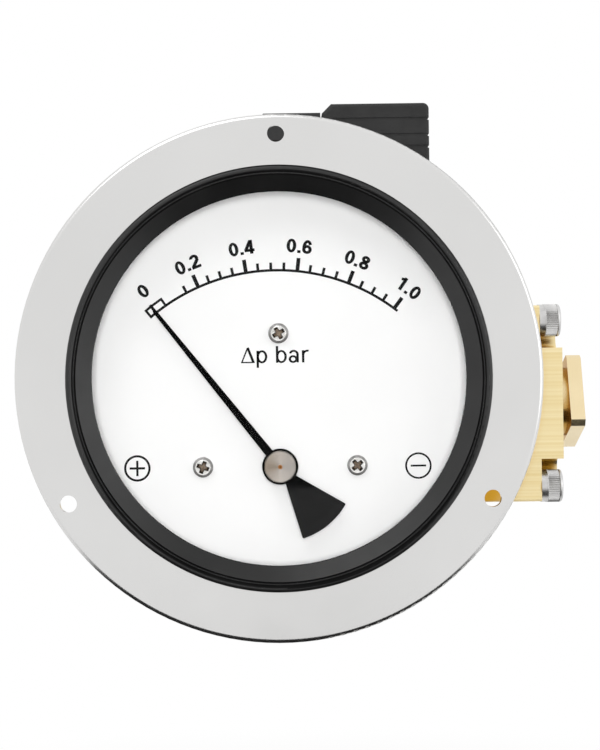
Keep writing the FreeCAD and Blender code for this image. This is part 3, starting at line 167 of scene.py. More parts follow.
FLOOR_PALE = (0.94, 0.94, 0.94, 1)
FLOOR_LIFT = 0.4
FLOOR_BOUNCE = (0.25, 0.25, 0.25, 1)
FADE_START, FADE_END = 0.12, 0.36
floor_paint = bpy.data.materials.new("floor_paint")
floor_paint.use_nodes = True
tree = floor_paint.node_tree
tree.nodes.clear()
pale = add_node(tree, "BsdfDiffuse", FLOOR_PALE)
lift = add_node(tree, "Emission", WHITE, FLOOR_LIFT)
lifted = add_node(tree, "AddShader", pale.outputs[0], lift.outputs[0])
glow = add_node(tree, "Emission", WHITE)
fade = spread_over(tree, vector(tree, "LENGTH", place_on(tree)), FADE_START, FADE_END)
faded = add_node(tree, "MixShader", fade, lifted.outputs[0], glow.outputs[0])
bounce = add_node(tree, "BsdfDiffuse", FLOOR_BOUNCE)
shown = add_node(tree, "MixShader", seen_directly(tree), bounce.outputs[0], faded.outputs[0])
add_node(tree, "OutputMaterial", shown.outputs[0])
floor.data.materials.append(floor_paint)
print("floor is plain white from", FADE_END, "m on")

# %% [markdown]
# A white studio alone makes metal look flat. Photographers lay black cards near the object,
# out of the picture. Edges that lean down mirror the two below the gauge as thin dark lines,
# and the long one behind it shades the metal that is seen from behind.
# Here only reflections may see the cards.

# %% Lay black cards for the reflections
CARD_RISE = 0.01
card_paper = bpy.data.materials.new("black_paper")
card_paper.use_nodes = True
paper = card_paper.node_tree.nodes["Principled BSDF"]
paper.inputs["Base Color"].default_value = (0.01, 0.01, 0.01, 1)
paper.inputs["Roughness"].default_value = 0.9


def lay_card(name, left, right, front, back):
    """A black card just above the floor that only reflections see."""
    middle = ((left + right) / 2, (front + back) / 2, FLOOR_LEVEL + CARD_RISE)
    card = start_from(bpy.ops.mesh.primitive_plane_add, name, size=1, location=middle)
    card.scale = (right - left, back - front, 1)
    card.visible_camera = False
    card.visible_diffuse = False
    card.visible_shadow = False
    card.visible_transmission = False
    card.data.materials.append(card_paper)
    print("laid", name)


lay_card("front_card", left=-0.17, right=0.17, front=-0.25, back=0.03)
lay_card("back_card", left=-0.17, right=0.03, front=0.03, back=0.2)
lay_card("rear_card", left=-0.5, right=0.5, front=0.3, back=0.48)

# %% Surround it with white
AMBIENT = 0.12
world = bpy.data.worlds.new("white_surroundings")
world.use_nodes = True
scene.world = world
tree = world.node_tree
tree.nodes.clear()
shown = add_node(tree, "Background", WHITE)
ambient = add_node(tree, "Background", WHITE, AMBIENT)
mix = add_node(tree, "MixShader", seen_directly(tree), ambient.outputs[0], shown.outputs[0])
add_node(tree, "OutputWorld", mix.outputs[0])
print("ambient light", AMBIENT)

# %% [markdown]
# ## The lamps
# Soft panels keep shadows gentle. The dial lies deep behind a black ring, so most of its
# light comes from a small panel straight in front, which is kept out of reflections, or the
# flat flange would mirror it. A big panel above and to the left lets the ring drop a soft
# shade on the top and left of the dial. One on the right lights the brass, and one behind
# lights the back, also without a reflection of its own.

# %% Hang the soft panels
def hang_panel(name, place, size, power):
    """An area lamp at place, facing the middle of the gauge."""
    aim = Vector(place).to_track_quat("Z", "Y").to_euler()
    lamp = start_from(bpy.ops.object.light_add, name, type="AREA", location=place, rotation=aim)
    lamp.data.size = size
    lamp.data.energy = power
    print("hung", name, "of", power, "W")
    return lamp


front_panel = hang_panel("front_panel", (0, -0.62, 0.02), size=0.18, power=3.0)
front_panel.visible_glossy = False
front_panel.visible_transmission = False
hang_panel("top_panel", (-0.35, -0.75, 0.95), size=0.7, power=3.2)
hang_panel("right_panel", (1.0, -0.7, 0.25), size=0.8, power=2.0)
back_panel = hang_panel("back_panel", (0.2, 0.95, 0.8), size=0.9, power=4.0)
back_panel.visible_glossy = False
scene.view_settings.view_transform = "Standard"

# %% [markdown]
# ## How the finishes are built
# Every finish starts from one Principled shader whose constants are set on its sockets.
# Patterns read Object coordinates, so they keep their real size in metres on each piece.
# Small helpers place a pattern, then let it tint, roughen or emboss the surface. The
# denoiser takes a surface smoother than about 0.27 for a mirror, so the roughness of a metal
# stays on one side of that, or the metal would look specked.

# %% Helpers for finishes
TINT_SPAN = (0.3, 0.7)
ROUGH_SPAN = (0.25, 0.75)


def start_finish(name, colour, metallic, roughness, **sockets):
    """A material whose shader has its constants on its own sockets."""
    finish = bpy.data.materials.new(name)
    finish.use_nodes = True
    shader = finish.node_tree.nodes["Principled BSDF"]
    shader.inputs["Base Color"].default_value = (*colour, 1)
    shader.inputs["Metallic"].default_value = metallic
    shader.inputs["Roughness"].default_value = roughness
    for socket, amount in sockets.items():
        shader.inputs[socket.replace("_", " ")].default_value = amount
    return finish


def pattern(finish, kind, centre=(0, 0, 0), stretch=(1, 1, 1), **settings):
    """A noise or wave on Object coordinates, moved to centre and stretched."""
    tree = finish.node_tree
    mapping = add_node(tree, "Mapping", place_on(tree), centre, (0, 0, 0), stretch)
    mapping.vector_type = "TEXTURE"
    texture = add_node(tree, "Tex" + kind.title(), mapping.outputs["Vector"])
    for setting, amount in settings.items():
        if setting in texture.inputs:
            texture.inputs[setting].default_value = amount
        else:
            setattr(texture, setting, amount)
    return texture.outputs["Fac"]


def as_pattern(finish, amount):
    """A pattern as it is, or plain noise where only its scale is given."""
    if isinstance(amount, bpy.types.NodeSocket):
        return amount
    return pattern(finish, "noise", Scale=amount)


def tint(finish, amount, dark, light):
    """Base colour runs from dark to light with a pattern or a scale of noise."""
    tree = finish.node_tree
    ramp = add_node(tree, "ValToRGB", as_pattern(finish, amount))
    for stop, position, colour in zip(ramp.color_ramp.elements, TINT_SPAN, (dark, light)):
        stop.position = position
        stop.color = (*colour, 1)
    tree.links.new(ramp.outputs["Color"], tree.nodes["Principled BSDF"].inputs["Base Color"])


def roughen(finish, amount, smooth, rough):
    """Roughness runs from smooth to rough with a pattern or a scale of noise."""
    tree = finish.node_tree
    spread = add_node(tree, "MapRange", as_pattern(finish, amount), *ROUGH_SPAN, smooth, rough)
    tree.links.new(spread.outputs["Result"], tree.nodes["Principled BSDF"].inputs["Roughness"])


def emboss(finish, amount, depth, strength):
    """A bump of that depth in metres, on top of any earlier one."""
    tree = finish.node_tree
    normal = tree.nodes["Principled BSDF"].inputs["Normal"]
    height = as_pattern(finish, amount)
    bump = tree.nodes.new("ShaderNodeBump")
    bump.inputs["Strength"].default_value = strength
    bump.inputs["Distance"].default_value = depth
    tree.links.new(height, bump.inputs["Height"])
    if normal.is_linked:
        tree.links.new(normal.links[0].from_socket, bump.inputs["Normal"])
    tree.links.new(bump.outputs["Normal"], normal)


# %% [markdown]
# Some finishes depend on where a point lies or which way it faces. Maths nodes work that
# out: a distance, a height, a direction, or how open the view from the point is.

# %% Helpers for places and directions
VIEW_SAMPLES = 24


def facing(tree):
    """The direction the surface faces."""
    return add_node(tree, "NewGeometry").outputs["Normal"]


def along(tree, direction, axis):
    """One of the three numbers in a direction or a place."""
    return add_node(tree, "SeparateXYZ", direction).outputs[axis]


def distance(tree, point, weights=(1, 1, 1)):
    """How far the surface is from a point, with each direction weighted."""
    way = vector(tree, "SUBTRACT", place_on(tree), point)
    return vector(tree, "LENGTH", vector(tree, "MULTIPLY", way, weights))


def openness(tree, reach, skyward=0.0):
    """How free the view from the surface is within reach, leaning up by skyward."""
    lean = vector(tree, "NORMALIZE", vector(tree, "ADD", facing(tree), (0, 0, skyward)))
    nearby = add_node(tree, "AmbientOcclusion", WHITE, reach, lean)
    nearby.samples = VIEW_SAMPLES
    return nearby.outputs["AO"]


# %% Helpers that use them
def blend_towards(finish, colour, amount, shut, clear):
    """Takes that colour where amount is shut or less, and keeps its own where it is clear."""
    tree = finish.node_tree
    base = tree.nodes["Principled BSDF"].inputs["Base Color"]
    blend = tree.nodes.new("ShaderNodeMix")
    blend.data_type = "RGBA"
    blend.inputs["A"].default_value = (*colour, 1)
    tree.links.new(spread_over(tree, amount, shut, clear), blend.inputs["Factor"])
    tree.links.new(base.links[0].from_socket, blend.inputs["B"])
    tree.links.new(blend.outputs["Result"], base)


def paint_shade_into_gloss(finish, amount, shut, clear):
    """Takes the gloss away where amount is shut or less, as painted shade."""
    tree = finish.node_tree
    gloss = tree.nodes["Principled BSDF"].inputs["Specular IOR Level"]
    level = spread_over(tree, amount, shut, clear, gloss.default_value)
    if gloss.is_linked:
        level = number(tree, "MINIMUM", gloss.links[0].from_socket, level)
    tree.links.new(level, gloss)


# %% [markdown]
# ## The metal of the case
# The case is drawn from stainless sheet and left satin: it mirrors its white surroundings
# softly, with no picture in the reflection. A very fine circular brushing about the case's
# axis and cloudy patches of roughness are enough; strong scratches would look old.

# %% Satin steel
satin_steel = start_finish("satin_steel", (0.72, 0.715, 0.7), 1.0, 0.24)
clouds = pattern(satin_steel, "noise", Scale=16.0, Detail=3.0)
tint(satin_steel, clouds, (0.69, 0.687, 0.68), (0.745, 0.742, 0.735))
roughen(satin_steel, pattern(satin_steel, "noise", Scale=60.0, Detail=4.0), 0.2, 0.27)
print("finish:", satin_steel.name)

# %% [markdown]
# The edge of the flange is rounded, and a mirror-like rounding shows every flaw. The mesh
# cuts it into long triangles whose blended normals flicker in the reflections. The rounding
# is part of a ring, so its true normal follows from the place alone.

# %% True normals on the edge of the flange
FLANGE_RADIUS = -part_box("case")[0].x
FLANGE_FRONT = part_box("case")[0].y
EDGE_ROUND = 1.2 * MM
REAR_MARGIN = 0.05 * MM
tree = satin_steel.node_tree
flat = vector(tree, "MULTIPLY", place_on(tree), (1, 0, 1))
radius = vector(tree, "LENGTH", flat)
depth = along(tree, place_on(tree), "Y")
past = number(tree, "SUBTRACT", radius, FLANGE_RADIUS - EDGE_ROUND)
past = number(tree, "MAXIMUM", past, 0.0)
ahead = number(tree, "SUBTRACT", depth, FLANGE_FRONT + EDGE_ROUND)
ahead = number(tree, "MINIMUM", ahead, 0.0)
outward = vector(tree, "MULTIPLY", vector(tree, "NORMALIZE", flat), past)
forward = vector(tree, "MULTIPLY", ahead, (0, 1, 0))
true_normal = vector(tree, "NORMALIZE", vector(tree, "ADD", outward, forward))
outside = number(tree, "GREATER_THAN", radius, FLANGE_RADIUS - 2 * EDGE_ROUND)
in_front = number(tree, "LESS_THAN", depth, -REAR_MARGIN)
choice = tree.nodes.new("ShaderNodeMix")
choice.data_type = "VECTOR"
tree.links.new(number(tree, "MULTIPLY", outside, in_front), choice.inputs["Factor"])
tree.links.new(facing(tree), choice.inputs["A"])
tree.links.new(true_normal, choice.inputs["B"])
tree.links.new(choice.outputs["Result"], tree.nodes["Principled BSDF"].inputs["Normal"])
print("edge rounding", round(EDGE_ROUND / MM, 2), "mm")


# %% Brush it round the axis
def wave_scale(spacing):
    """The scale at which a wave texture, 20 radians to a metre, repeats every spacing."""
    return 2 * math.pi / (20 * spacing)


BRUSH_SPACING = 0.45 * MM
brushing = pattern(
    satin_steel, "wave", wave_type="RINGS", rings_direction="Y",
    Scale=wave_scale(BRUSH_SPACING), Distortion=6.0, Detail=2.0, **{"Detail Scale": 3.0}
)
emboss(satin_steel, brushing, 0.002 * MM, 0.25)
print("brushed every", round(BRUSH_SPACING / MM, 2), "mm")

# %% [markdown]
# ## Rubber, glass and paint
# The rubber ring is moulded: nearly black, slightly greasy, with a fine skin.
# The window has to let light through to the dial, so shadow rays pass it freely
# and only its gloss stays. The dial is white enamel, the pointer matt black.

# %% Black rubber
GROOVE_REACH = 2 * MM
black_rubber = start_finish("moulded_rubber", (0.01, 0.01, 0.01), 0.0, 0.32)
tint(black_rubber, 90.0, (0.007,) * 3, (0.011,) * 3)
roughen(black_rubber, 400.0, 0.28, 0.36)
emboss(black_rubber, 2500.0, 0.01 * MM, 0.3)
tree = black_rubber.node_tree
# Painted shade: the rubber loses its gloss where the view from it is closed, as in the groove
# between bead and band.
paint_shade_into_gloss(black_rubber, openness(tree, GROOVE_REACH), 0.0, 0.85)
print("finish:", black_rubber.name)

# %% [markdown]
# The ring is so dark that it shows little but its gloss. In the picture it is lightest at
# its sides, and nearly black where its inner band faces down and where its skin faces up.
# Gloss is taken away there by place and direction as painted shade, with limits of its own
# for the bead at the outer edge of the lower half.

# %% Where the ring's gloss is taken away as painted shade
BAND_EDGE, BEAD_EDGE = 56.8 * MM, 57.7 * MM
BAND_DOWN_LIMITS = (-0.46, -0.23)
UP_LIMITS = (-0.78, -0.2)
BEAD_UP_LIMITS = (-0.45, 0.0)
from_axis = distance(tree, (0, 0, 0), (1, 0, 1))
past_band = number(tree, "GREATER_THAN", from_axis, BAND_EDGE)
inside_bead = number(tree, "LESS_THAN", from_axis, BEAD_EDGE)
upper_half = number(tree, "GREATER_THAN", along(tree, place_on(tree), "Z"), 0.0)
not_low_bead = number(tree, "MAXIMUM", inside_bead, upper_half)
rising = along(tree, facing(tree), "Z")
falling = number(tree, "MULTIPLY", rising, -1.0)
# Painted shade: gloss goes where the band faces down, where the skin faces up, and where the lower
# bead faces up.
paint_shade_into_gloss(black_rubber, number(tree, "ADD", rising, past_band), *BAND_DOWN_LIMITS)
paint_shade_into_gloss(black_rubber, falling, *UP_LIMITS)
paint_shade_into_gloss(black_rubber, number(tree, "ADD", falling, not_low_bead), *BEAD_UP_LIMITS)
print("bead from", round(BEAD_EDGE / MM, 1), "mm off the axis")

# %% Clear window glass
window_glass = start_finish(
    "clear_glass", (1.0, 1.0, 1.0), 0.0, 0.02,
    IOR=1.45, Transmission_Weight=1.0, Specular_IOR_Level=0.06,
    Specular_Tint=(0.06, 0.06, 0.06, 1)
)
smears = pattern(window_glass, "noise", Scale=12.0, Detail=3.0)
roughen(window_glass, smears, 0.0, 0.025)
tree = window_glass.node_tree
rays = add_node(tree, "LightPath").outputs
passing = number(tree, "MAXIMUM", rays["Is Shadow Ray"], rays["Is Diffuse Ray"])
glossy = tree.nodes["Principled BSDF"]
clear = add_node(tree, "BsdfTransparent")
mix = add_node(tree, "MixShader", passing, glossy.outputs[0], clear.outputs[0])
tree.links.new(mix.outputs[0], tree.nodes["Material Output"].inputs["Surface"])
print("finish:", window_glass.name)

# %% White enamel and black paint
white_enamel = start_finish("white_enamel", (0.94, 0.94, 0.935), 0.0, 0.5)
tint(white_enamel, 30.0, (0.93, 0.93, 0.925), (0.955, 0.955, 0.95))
roughen(white_enamel, 300.0, 0.42, 0.55)
emboss(white_enamel, 1800.0, 0.006 * MM, 0.2)

black_paint = start_finish("printing_ink", (0.008,) * 3, 0.0, 0.5, Specular_IOR_Level=0.08)
tint(black_paint, 200.0, (0.006,) * 3, (0.01,) * 3)
roughen(black_paint, 900.0, 0.4, 0.55)

FAN_COLOUR = (0.016,) * 3
FAN_TOP, BLADE_END = -32 * MM, -30 * MM
pointer_paint = start_finish("pointer_paint", (0.0015,) * 3, 0.0, 0.6, Specular_IOR_Level=0.02)
tint(pointer_paint, 200.0, (0.001,) * 3, (0.002,) * 3)
tree = pointer_paint.node_tree
blend_towards(pointer_paint, FAN_COLOUR, along(tree, place_on(tree), "Z"), FAN_TOP, BLADE_END)
print("finishes:", white_enamel.name, black_paint.name, pointer_paint.name)

# %% [markdown]
# ## Brass
# The block and its cap are milled from drawn brass bar, with fine lines along the bar. The
# port bushes are turned, so their lines run round the port's axis. Noise stretched along the
# bar draws the first, a wave in rings the second. Brass that sees more brass than sky mirrors
# its own colour, so it looks darker in pockets and amber close behind the flange; here both
# are painted shade in the base colour.

# %% Milled brass
POCKET_REACH = 60 * MM
POCKET_SHADE_COLOUR, POCKET_SHADE_LIMITS = (0.4, 0.2, 0.02), (0.25, 0.5)
AMBER_SHADE, AMBER_SHADE_END, BRASS_START = (0.66, 0.35, 0.035), 74.5 * MM, 83 * MM
FACE_ONLY = (1, 80, 1)
milled_brass = start_finish("milled_brass", (0.88, 0.71, 0.36), 1.0, 0.3)
level_lines = pattern(milled_brass, "noise", Scale=1200.0, stretch=(400, 400, 1), Detail=1.0)
tint(milled_brass, level_lines, (0.86, 0.69, 0.35), (0.95, 0.81, 0.49))
emboss(milled_brass, level_lines, 0.02 * MM, 0.4)
upright_lines = pattern(milled_brass, "noise", Scale=1200.0, stretch=(400, 1, 400), Detail=1.0)
emboss(milled_brass, upright_lines, 0.01 * MM, 0.3)
roughen(milled_brass, 120.0, 0.28, 0.33)
tree = milled_brass.node_tree
# Painted shade: the base colour goes dark where the view upwards is closed, as in pockets.
sky = openness(tree, POCKET_REACH, skyward=1.0)
blend_towards(milled_brass, POCKET_SHADE_COLOUR, sky, *POCKET_SHADE_LIMITS)
# Painted shade: the cap's front face turns amber within the flange's radius and fades out just
# beyond it.
front_face = Vector((0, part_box("low_side_cap")[0].y, 0))
across_face = distance(tree, front_face, FACE_ONLY)
blend_towards(milled_brass, AMBER_SHADE, across_face, AMBER_SHADE_END, BRASS_START)
print("finish:", milled_brass.name)

# %% Turned brass
PORT_Y, PORT_Z = 73 * MM, -8.7 * MM
NECK_REACH = 12 * MM
NECK_SHADE_COLOUR, NECK_SHADE_LIMITS = (0.5, 0.29, 0.07), (0.42, 0.68)
turned_brass = start_finish("turned_brass", (0.88, 0.72, 0.42), 1.0, 0.25)
tint(turned_brass, 60.0, (0.84, 0.69, 0.42), (0.9, 0.76, 0.5))
roughen(turned_brass, 150.0, 0.2, 0.27)
turning = pattern(
    turned_brass, "wave", centre=(0, PORT_Y, PORT_Z), wave_type="RINGS", rings_direction="X",
    Scale=wave_scale(0.35 * MM), Distortion=0.4
)
emboss(turned_brass, turning, 0.006 * MM, 0.3)
# Painted shade: the bushes turn dark amber where nearby parts close in the view, as at the neck.
shelter = openness(turned_brass.node_tree, NECK_REACH)
blend_towards(turned_brass, NECK_SHADE_COLOUR, shelter, *NECK_SHADE_LIMITS)
print("finish:", turned_brass.name)

# %% [markdown]
# ## Steel, copper and alloys
# The cap screws are plain steel. The dial screws are plated: a bright crown, an edge in a
# darker copy of the plating that is painted shade, darker still where it faces down, and a
# recess painted near black as shade, with a brown film on its floor. The hub is turned, and
# light fans out over it in wedges; anisotropic gloss could give them, but here a ramp round
# the axis paints them into the base colour as a painted sheen.

# %% Finishes of the screws
screw_steel = start_finish("screw_steel", (0.66, 0.65, 0.64), 1.0, 0.34)
tint(screw_steel, 250.0, (0.58, 0.575, 0.57), (0.74, 0.735, 0.725))
roughen(screw_steel, 500.0, 0.28, 0.4)
emboss(screw_steel, 1500.0, 0.008 * MM, 0.2)

nickel = start_finish("nickel_plate", (0.8, 0.79, 0.77), 1.0, 0.24)
tint(nickel, 700.0, (0.7, 0.69, 0.66), (0.88, 0.87, 0.85))
roughen(nickel, 500.0, 0.18, 0.27)

# Painted shade: the screw's edge is a darker copy of the plating, darker still where it faces
# down.
UNDERSIDE_SHADE, UNDERSIDE_SHADE_LIMITS = (0.09, 0.085, 0.08), (-0.7, 0.2)
shaded_edge = start_finish("shaded_edge", (0.3, 0.295, 0.285), 1.0, 0.4)
tint(shaded_edge, 500.0, (0.22, 0.215, 0.21), (0.42, 0.415, 0.405))
tree = shaded_edge.node_tree
blend_towards(shaded_edge, UNDERSIDE_SHADE, along(tree, facing(tree), "Z"), *UNDERSIDE_SHADE_LIMITS)

# Painted shade: the recesses of the screws are coloured near black.
shaded_recess = start_finish("recess_in_shade", (0.05, 0.04, 0.03), 1.0, 0.5)
tint(shaded_recess, 600.0, (0.03, 0.022, 0.015), (0.09, 0.07, 0.05))
roughen(shaded_recess, 900.0, 0.4, 0.6)

brown_film = start_finish("brown_film", (0.3, 0.23, 0.17), 1.0, 0.45)
tint(brown_film, 900.0, (0.16, 0.11, 0.08), (0.36, 0.29, 0.22))
print("finishes:", screw_steel.name, nickel.name, shaded_edge.name, shaded_recess.name)

# %% The turned hub
POINTER_AXIS = (0, 0, -25 * MM)
SHEEN = (
    (0.0, 0.31, 0.2), (0.25, 0.49, 0.4), (0.5, 0.42, 0.36), (0.75, 0.54, 0.45), (1.0, 0.31, 0.2)
)
turned_steel = start_finish("turned_steel", (0.5, 0.47, 0.43), 1.0, 0.24)
roughen(turned_steel, 400.0, 0.2, 0.27)
lathe_rings = pattern(
    turned_steel, "wave", centre=POINTER_AXIS, wave_type="RINGS", rings_direction="Y",
    Scale=wave_scale(0.4 * MM), Distortion=0.5
)
emboss(turned_steel, lathe_rings, 0.015 * MM, 0.5)
tree = turned_steel.node_tree
# Painted sheen: a ramp of colours round the pointer's axis lightens and darkens the base colour in
# wedges.
to_axis, face_on = (0, POINTER_AXIS[2], 0), (math.radians(90), 0, 0)
turned = add_node(tree, "Mapping", place_on(tree), to_axis, face_on)
round_axis = add_node(tree, "TexGradient", turned.outputs["Vector"])
round_axis.gradient_type = "RADIAL"
sheen = add_node(tree, "ValToRGB", round_axis.outputs["Fac"])
while len(sheen.color_ramp.elements) < len(SHEEN):
    sheen.color_ramp.elements.new(0.5)
for stop, (turn, light, warm) in zip(sheen.color_ramp.elements, SHEEN):
    stop.position = turn
    stop.color = (light, (light + warm) / 2, warm, 1)
tree.links.new(sheen.outputs["Color"], tree.nodes["Principled BSDF"].inputs["Base Color"])
print("finish:", turned_steel.name, "with", len(SHEEN), "stops of sheen")

# %% Copper and the alloys inside
DOT_MIDDLE, DOT_RIM = 0.15 * MM, 0.6 * MM
copper = start_finish("copper", (0.55, 0.27, 0.12), 1.0, 0.32)
tint(copper, 300.0, (0.46, 0.21, 0.09), (0.6, 0.31, 0.15))
roughen(copper, 700.0, 0.28, 0.4)
off_axis = distance(copper.node_tree, POINTER_AXIS, (1, 0, 1))
blend_towards(copper, (0.2, 0.08, 0.02), off_axis, DOT_MIDDLE, DOT_RIM)

magnet_alloy = start_finish("magnet_alloy", (0.16, 0.16, 0.17), 1.0, 0.4)
tint(magnet_alloy, 400.0, (0.12,) * 3, (0.2,) * 3)

piston_alloy = start_finish("piston_alloy", (0.75, 0.76, 0.77), 1.0, 0.3)
roughen(piston_alloy, 300.0, 0.28, 0.38)
print("finishes:", copper.name, magnet_alloy.name, piston_alloy.name)

# %% [markdown]
# ## Moulded plastics
# The angle plug, its gland and the switch housing are glass-filled nylon. A spark-eroded
# mould leaves an even, very fine texture, which noise at a fraction of a millimetre gives.

# %% Moulded plastics
black_plastic = start_finish("black_nylon", (0.018,) * 3, 0.0, 0.5, Specular_IOR_Level=0.35)
tint(black_plastic, 120.0, (0.014,) * 3, (0.022,) * 3)
roughen(black_plastic, 600.0, 0.44, 0.6)
moulded_skin = pattern(black_plastic, "noise", Scale=2200.0, Detail=3.0)
emboss(black_plastic, moulded_skin, 0.02 * MM, 0.35)

grey_plastic = start_finish("grey_nylon", (0.3, 0.3, 0.3), 0.0, 0.5)
tint(grey_plastic, 120.0, (0.27,) * 3, (0.33,) * 3)
emboss(grey_plastic, 2200.0, 0.02 * MM, 0.3)

capsule_glass = start_finish(
    "capsule_glass", (0.55, 0.75, 0.62), 0.0, 0.05, IOR=1.5, Transmission_Weight=0.9
)
roughen(capsule_glass, 200.0, 0.03, 0.1)
print("finishes:", black_plastic.name, grey_plastic.name, capsule_glass.name)

# %% [markdown]
# ## Give each CAD piece its finish
# The pack names a material slot on every node, so most nodes need only a table from slot
# to finish. The bushes share the block's slot but are turned, so they are named apart.

# %% Put the finishes on the nodes
SLOT_FINISHES = {
    "grey_steel": satin_steel, "white_dial": white_enamel, "black_paint": black_paint,
    "black_rubber": black_rubber, "window_glass": window_glass, "brass": milled_brass,
    "copper": copper, "steel": screw_steel, "turned_steel": turned_steel,
    "magnet_alloy": magnet_alloy, "piston_alloy": piston_alloy,
    "black_plastic": black_plastic, "grey_plastic": grey_plastic,
    "capsule_glass": capsule_glass,
}
TURNED_NODES = ("low_port_bush", "high_port_bush", "dial_pillars", "front_bearing", "rear_bearing")
NODE_FINISHES = {"pointer": pointer_paint, **dict.fromkeys(TURNED_NODES, turned_brass)}
for name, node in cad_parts.items():
    for slot in node.material_slots:
        slot.material = NODE_FINISHES.get(name, SLOT_FINISHES[slot.material.name])
print("dressed", len(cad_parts), "nodes")

# %% [markdown]
# ## Tools for modelling
# An operator acts on all that is selected, so each step clears the selection first.
# Faces, edges and points are then picked in code by where they are.

# %% Selection helpers
NEAR = 0.01 * MM


def select_only(*objects):
    """Object mode, with just these selected and the first one active."""
    if bpy.context.mode != "OBJECT":
        bpy.ops.object.mode_set(mode="OBJECT")
    bpy.ops.object.select_all(action="DESELECT")
    for obj in objects:
        obj.select_set(True)
    bpy.context.view_layer.objects.active = objects[0]


def pick(obj, kind, test):
    """Edit mode, with only the points, edges or faces chosen whose middle passes test."""
    select_only(obj)
    bpy.ops.object.mode_set(mode="EDIT")
    bpy.ops.mesh.select_mode(type=kind)
    bpy.ops.mesh.select_all(action="DESELECT")
    bpy.ops.object.mode_set(mode="OBJECT")
    mesh = obj.data
    parts = {"VERT": mesh.vertices, "EDGE": mesh.edges, "FACE": mesh.polygons}[kind]
    chosen = 0
    for part in parts:
        corners = [part.index] if kind == "VERT" else part.vertices
        middle = sum((mesh.vertices[i].co for i in corners), Vector()) / len(corners)
        part.select = bool(test(middle, part))
        chosen += part.select
    bpy.ops.object.mode_set(mode="EDIT")
    return chosen


# %% Helpers that finish a piece
def settle(obj):
    """Object mode, with the object's place moved into its mesh."""
    select_only(obj)
    bpy.ops.object.transform_apply(location=True, rotation=True, scale=True)


def smooth(obj, degrees=35):
    """Smooth shading, broken where faces meet at more than that angle."""
    select_only(obj)
    bpy.ops.object.shade_smooth_by_angle(angle=math.radians(degrees))


def copy_of(obj, name):
    """The same shape again, with a mesh of its own."""
    twin = obj.copy()
    twin.data = obj.data.copy()
    twin.name = name
    scene.collection.objects.link(twin)
    return twin


def join_as(name, objects):
    """One object from several."""
    select_only(*objects)
    bpy.ops.object.join()
    joined = bpy.context.object
    joined.name = name
    return joined


def apply_modifier(obj, kind, **settings):
    """Adds a modifier with these settings and applies it."""
    select_only(obj)
    modifier = obj.modifiers.new(kind.lower(), kind)
    for setting, amount in settings.items():
        setattr(modifier, setting, amount)
    bpy.ops.object.modifier_apply(modifier=modifier.name)


def hand_over(obj, body, finish, slot, *nodes):
    """The finished piece gets its finish, its body if it has just one, and its nodes; slot is not
    used.
    """
    settle(obj)
    if not obj.data.materials:
        obj.data.materials.append(finish)
    if body:
        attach(obj, body)
    if nodes:
        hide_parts(*nodes)
    print("made", obj.name, "with", len(obj.data.polygons), "faces")


# %% [markdown]
# ## The scale
# The scale is screen-printed in black: a thin arc, long marks every 0.2 bar, short marks
# every 0.05 bar, and a small frame at zero where the pointer rests. A curve could carry
# it, but a ring cut to an arc and one mark turned round keep the widths true. The print
# sits a little left of the pointer's axis, as far as the screws let the dial shift.

# %% Sizes of the printing
PIVOT = Vector((0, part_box("dial_plate")[0].y, POINTER_AXIS[2]))
SCALE_CENTRE = PIVOT + Vector((-0.63 * MM, 0, 0))
INK = 0.04 * MM
LINE = 0.74 * MM
SCALE_RADIUS = 55.55 * MM
MAIN_ANGLES = (-37.69, -23.21, -8.61, 6.44, 21.86, 37.17)
print("dial face at", round(PIVOT.y / MM, 2), "mm")


# %% Helpers for flat printing
def turn_round_scale(obj, degrees):
    """Swings an object clockwise round the middle of the scale and keeps it there."""
    swing = Matrix.Rotation(math.radians(degrees), 4, "Y")
    to_centre = Matrix.Translation(SCALE_CENTRE)
    obj.matrix_world = to_centre @ swing @ to_centre.inverted() @ obj.matrix_world
    settle(obj)


def oval(centre, width, height, upright, level, start=-180, end=180, steps=72):
    """A flat oval ring that faces the front, cut to the arc between two angles from its top."""
    obj = start_from(
        bpy.ops.mesh.primitive_circle_add, "oval",
        vertices=steps, radius=0.5, location=centre, rotation=(math.radians(90), 0, 0)
    )
    obj.scale = (width, height, 1)
    settle(obj)
    bpy.ops.object.mode_set(mode="EDIT")
    bpy.ops.mesh.select_all(action="SELECT")
    bpy.ops.mesh.extrude_edges_move()
    bpy.ops.transform.resize(
        value=(1 - 2 * upright / width, 1, 1 - 2 * level / height), center_override=centre
    )

    def outside(middle, part):
        across, rise = (middle.x - centre.x) / width, (middle.z - centre.z) / height
        return not start <= math.degrees(math.atan2(across, rise)) <= end

    if pick(obj, "FACE", outside):
        bpy.ops.mesh.delete(type="FACE")
    bpy.ops.object.mode_set(mode="OBJECT")
    return obj


def stroke(first, last, width):
    """A flat bar from one point to another."""
    obj = start_from(bpy.ops.mesh.primitive_plane_add, "stroke", size=1)
    way = last - first
    upright = Matrix.Rotation(math.radians(90), 4, "X")
    lean = Matrix.Rotation(math.atan2(way.x, way.z), 4, "Y") @ upright
    obj.matrix_world = (
        Matrix.Translation((first + last) / 2) @ lean @ Matrix.Diagonal((width, way.length, 1, 1))
    )
    settle(obj)
    return obj


def ink(name, parts):
    """Joins flat parts and gives them their thickness, half of it proud of the dial."""
    obj = join_as(name, parts)
    pick(obj, "VERT", lambda middle, part: True)
    bpy.ops.mesh.remove_doubles(threshold=0.002 * MM)
    apply_modifier(obj, "SOLIDIFY", thickness=INK, offset=0)
    hand_over(obj, "gauge", black_paint, "black_paint")


# %% Draw the arc and copy the marks round it
def scale_arc(radius, line, start, end):
    """A thin line round the middle of the scale between two angles."""
    across = 2 * (radius + line)
    return oval(SCALE_CENTRE, across, across, line, line, start, end, steps=900)


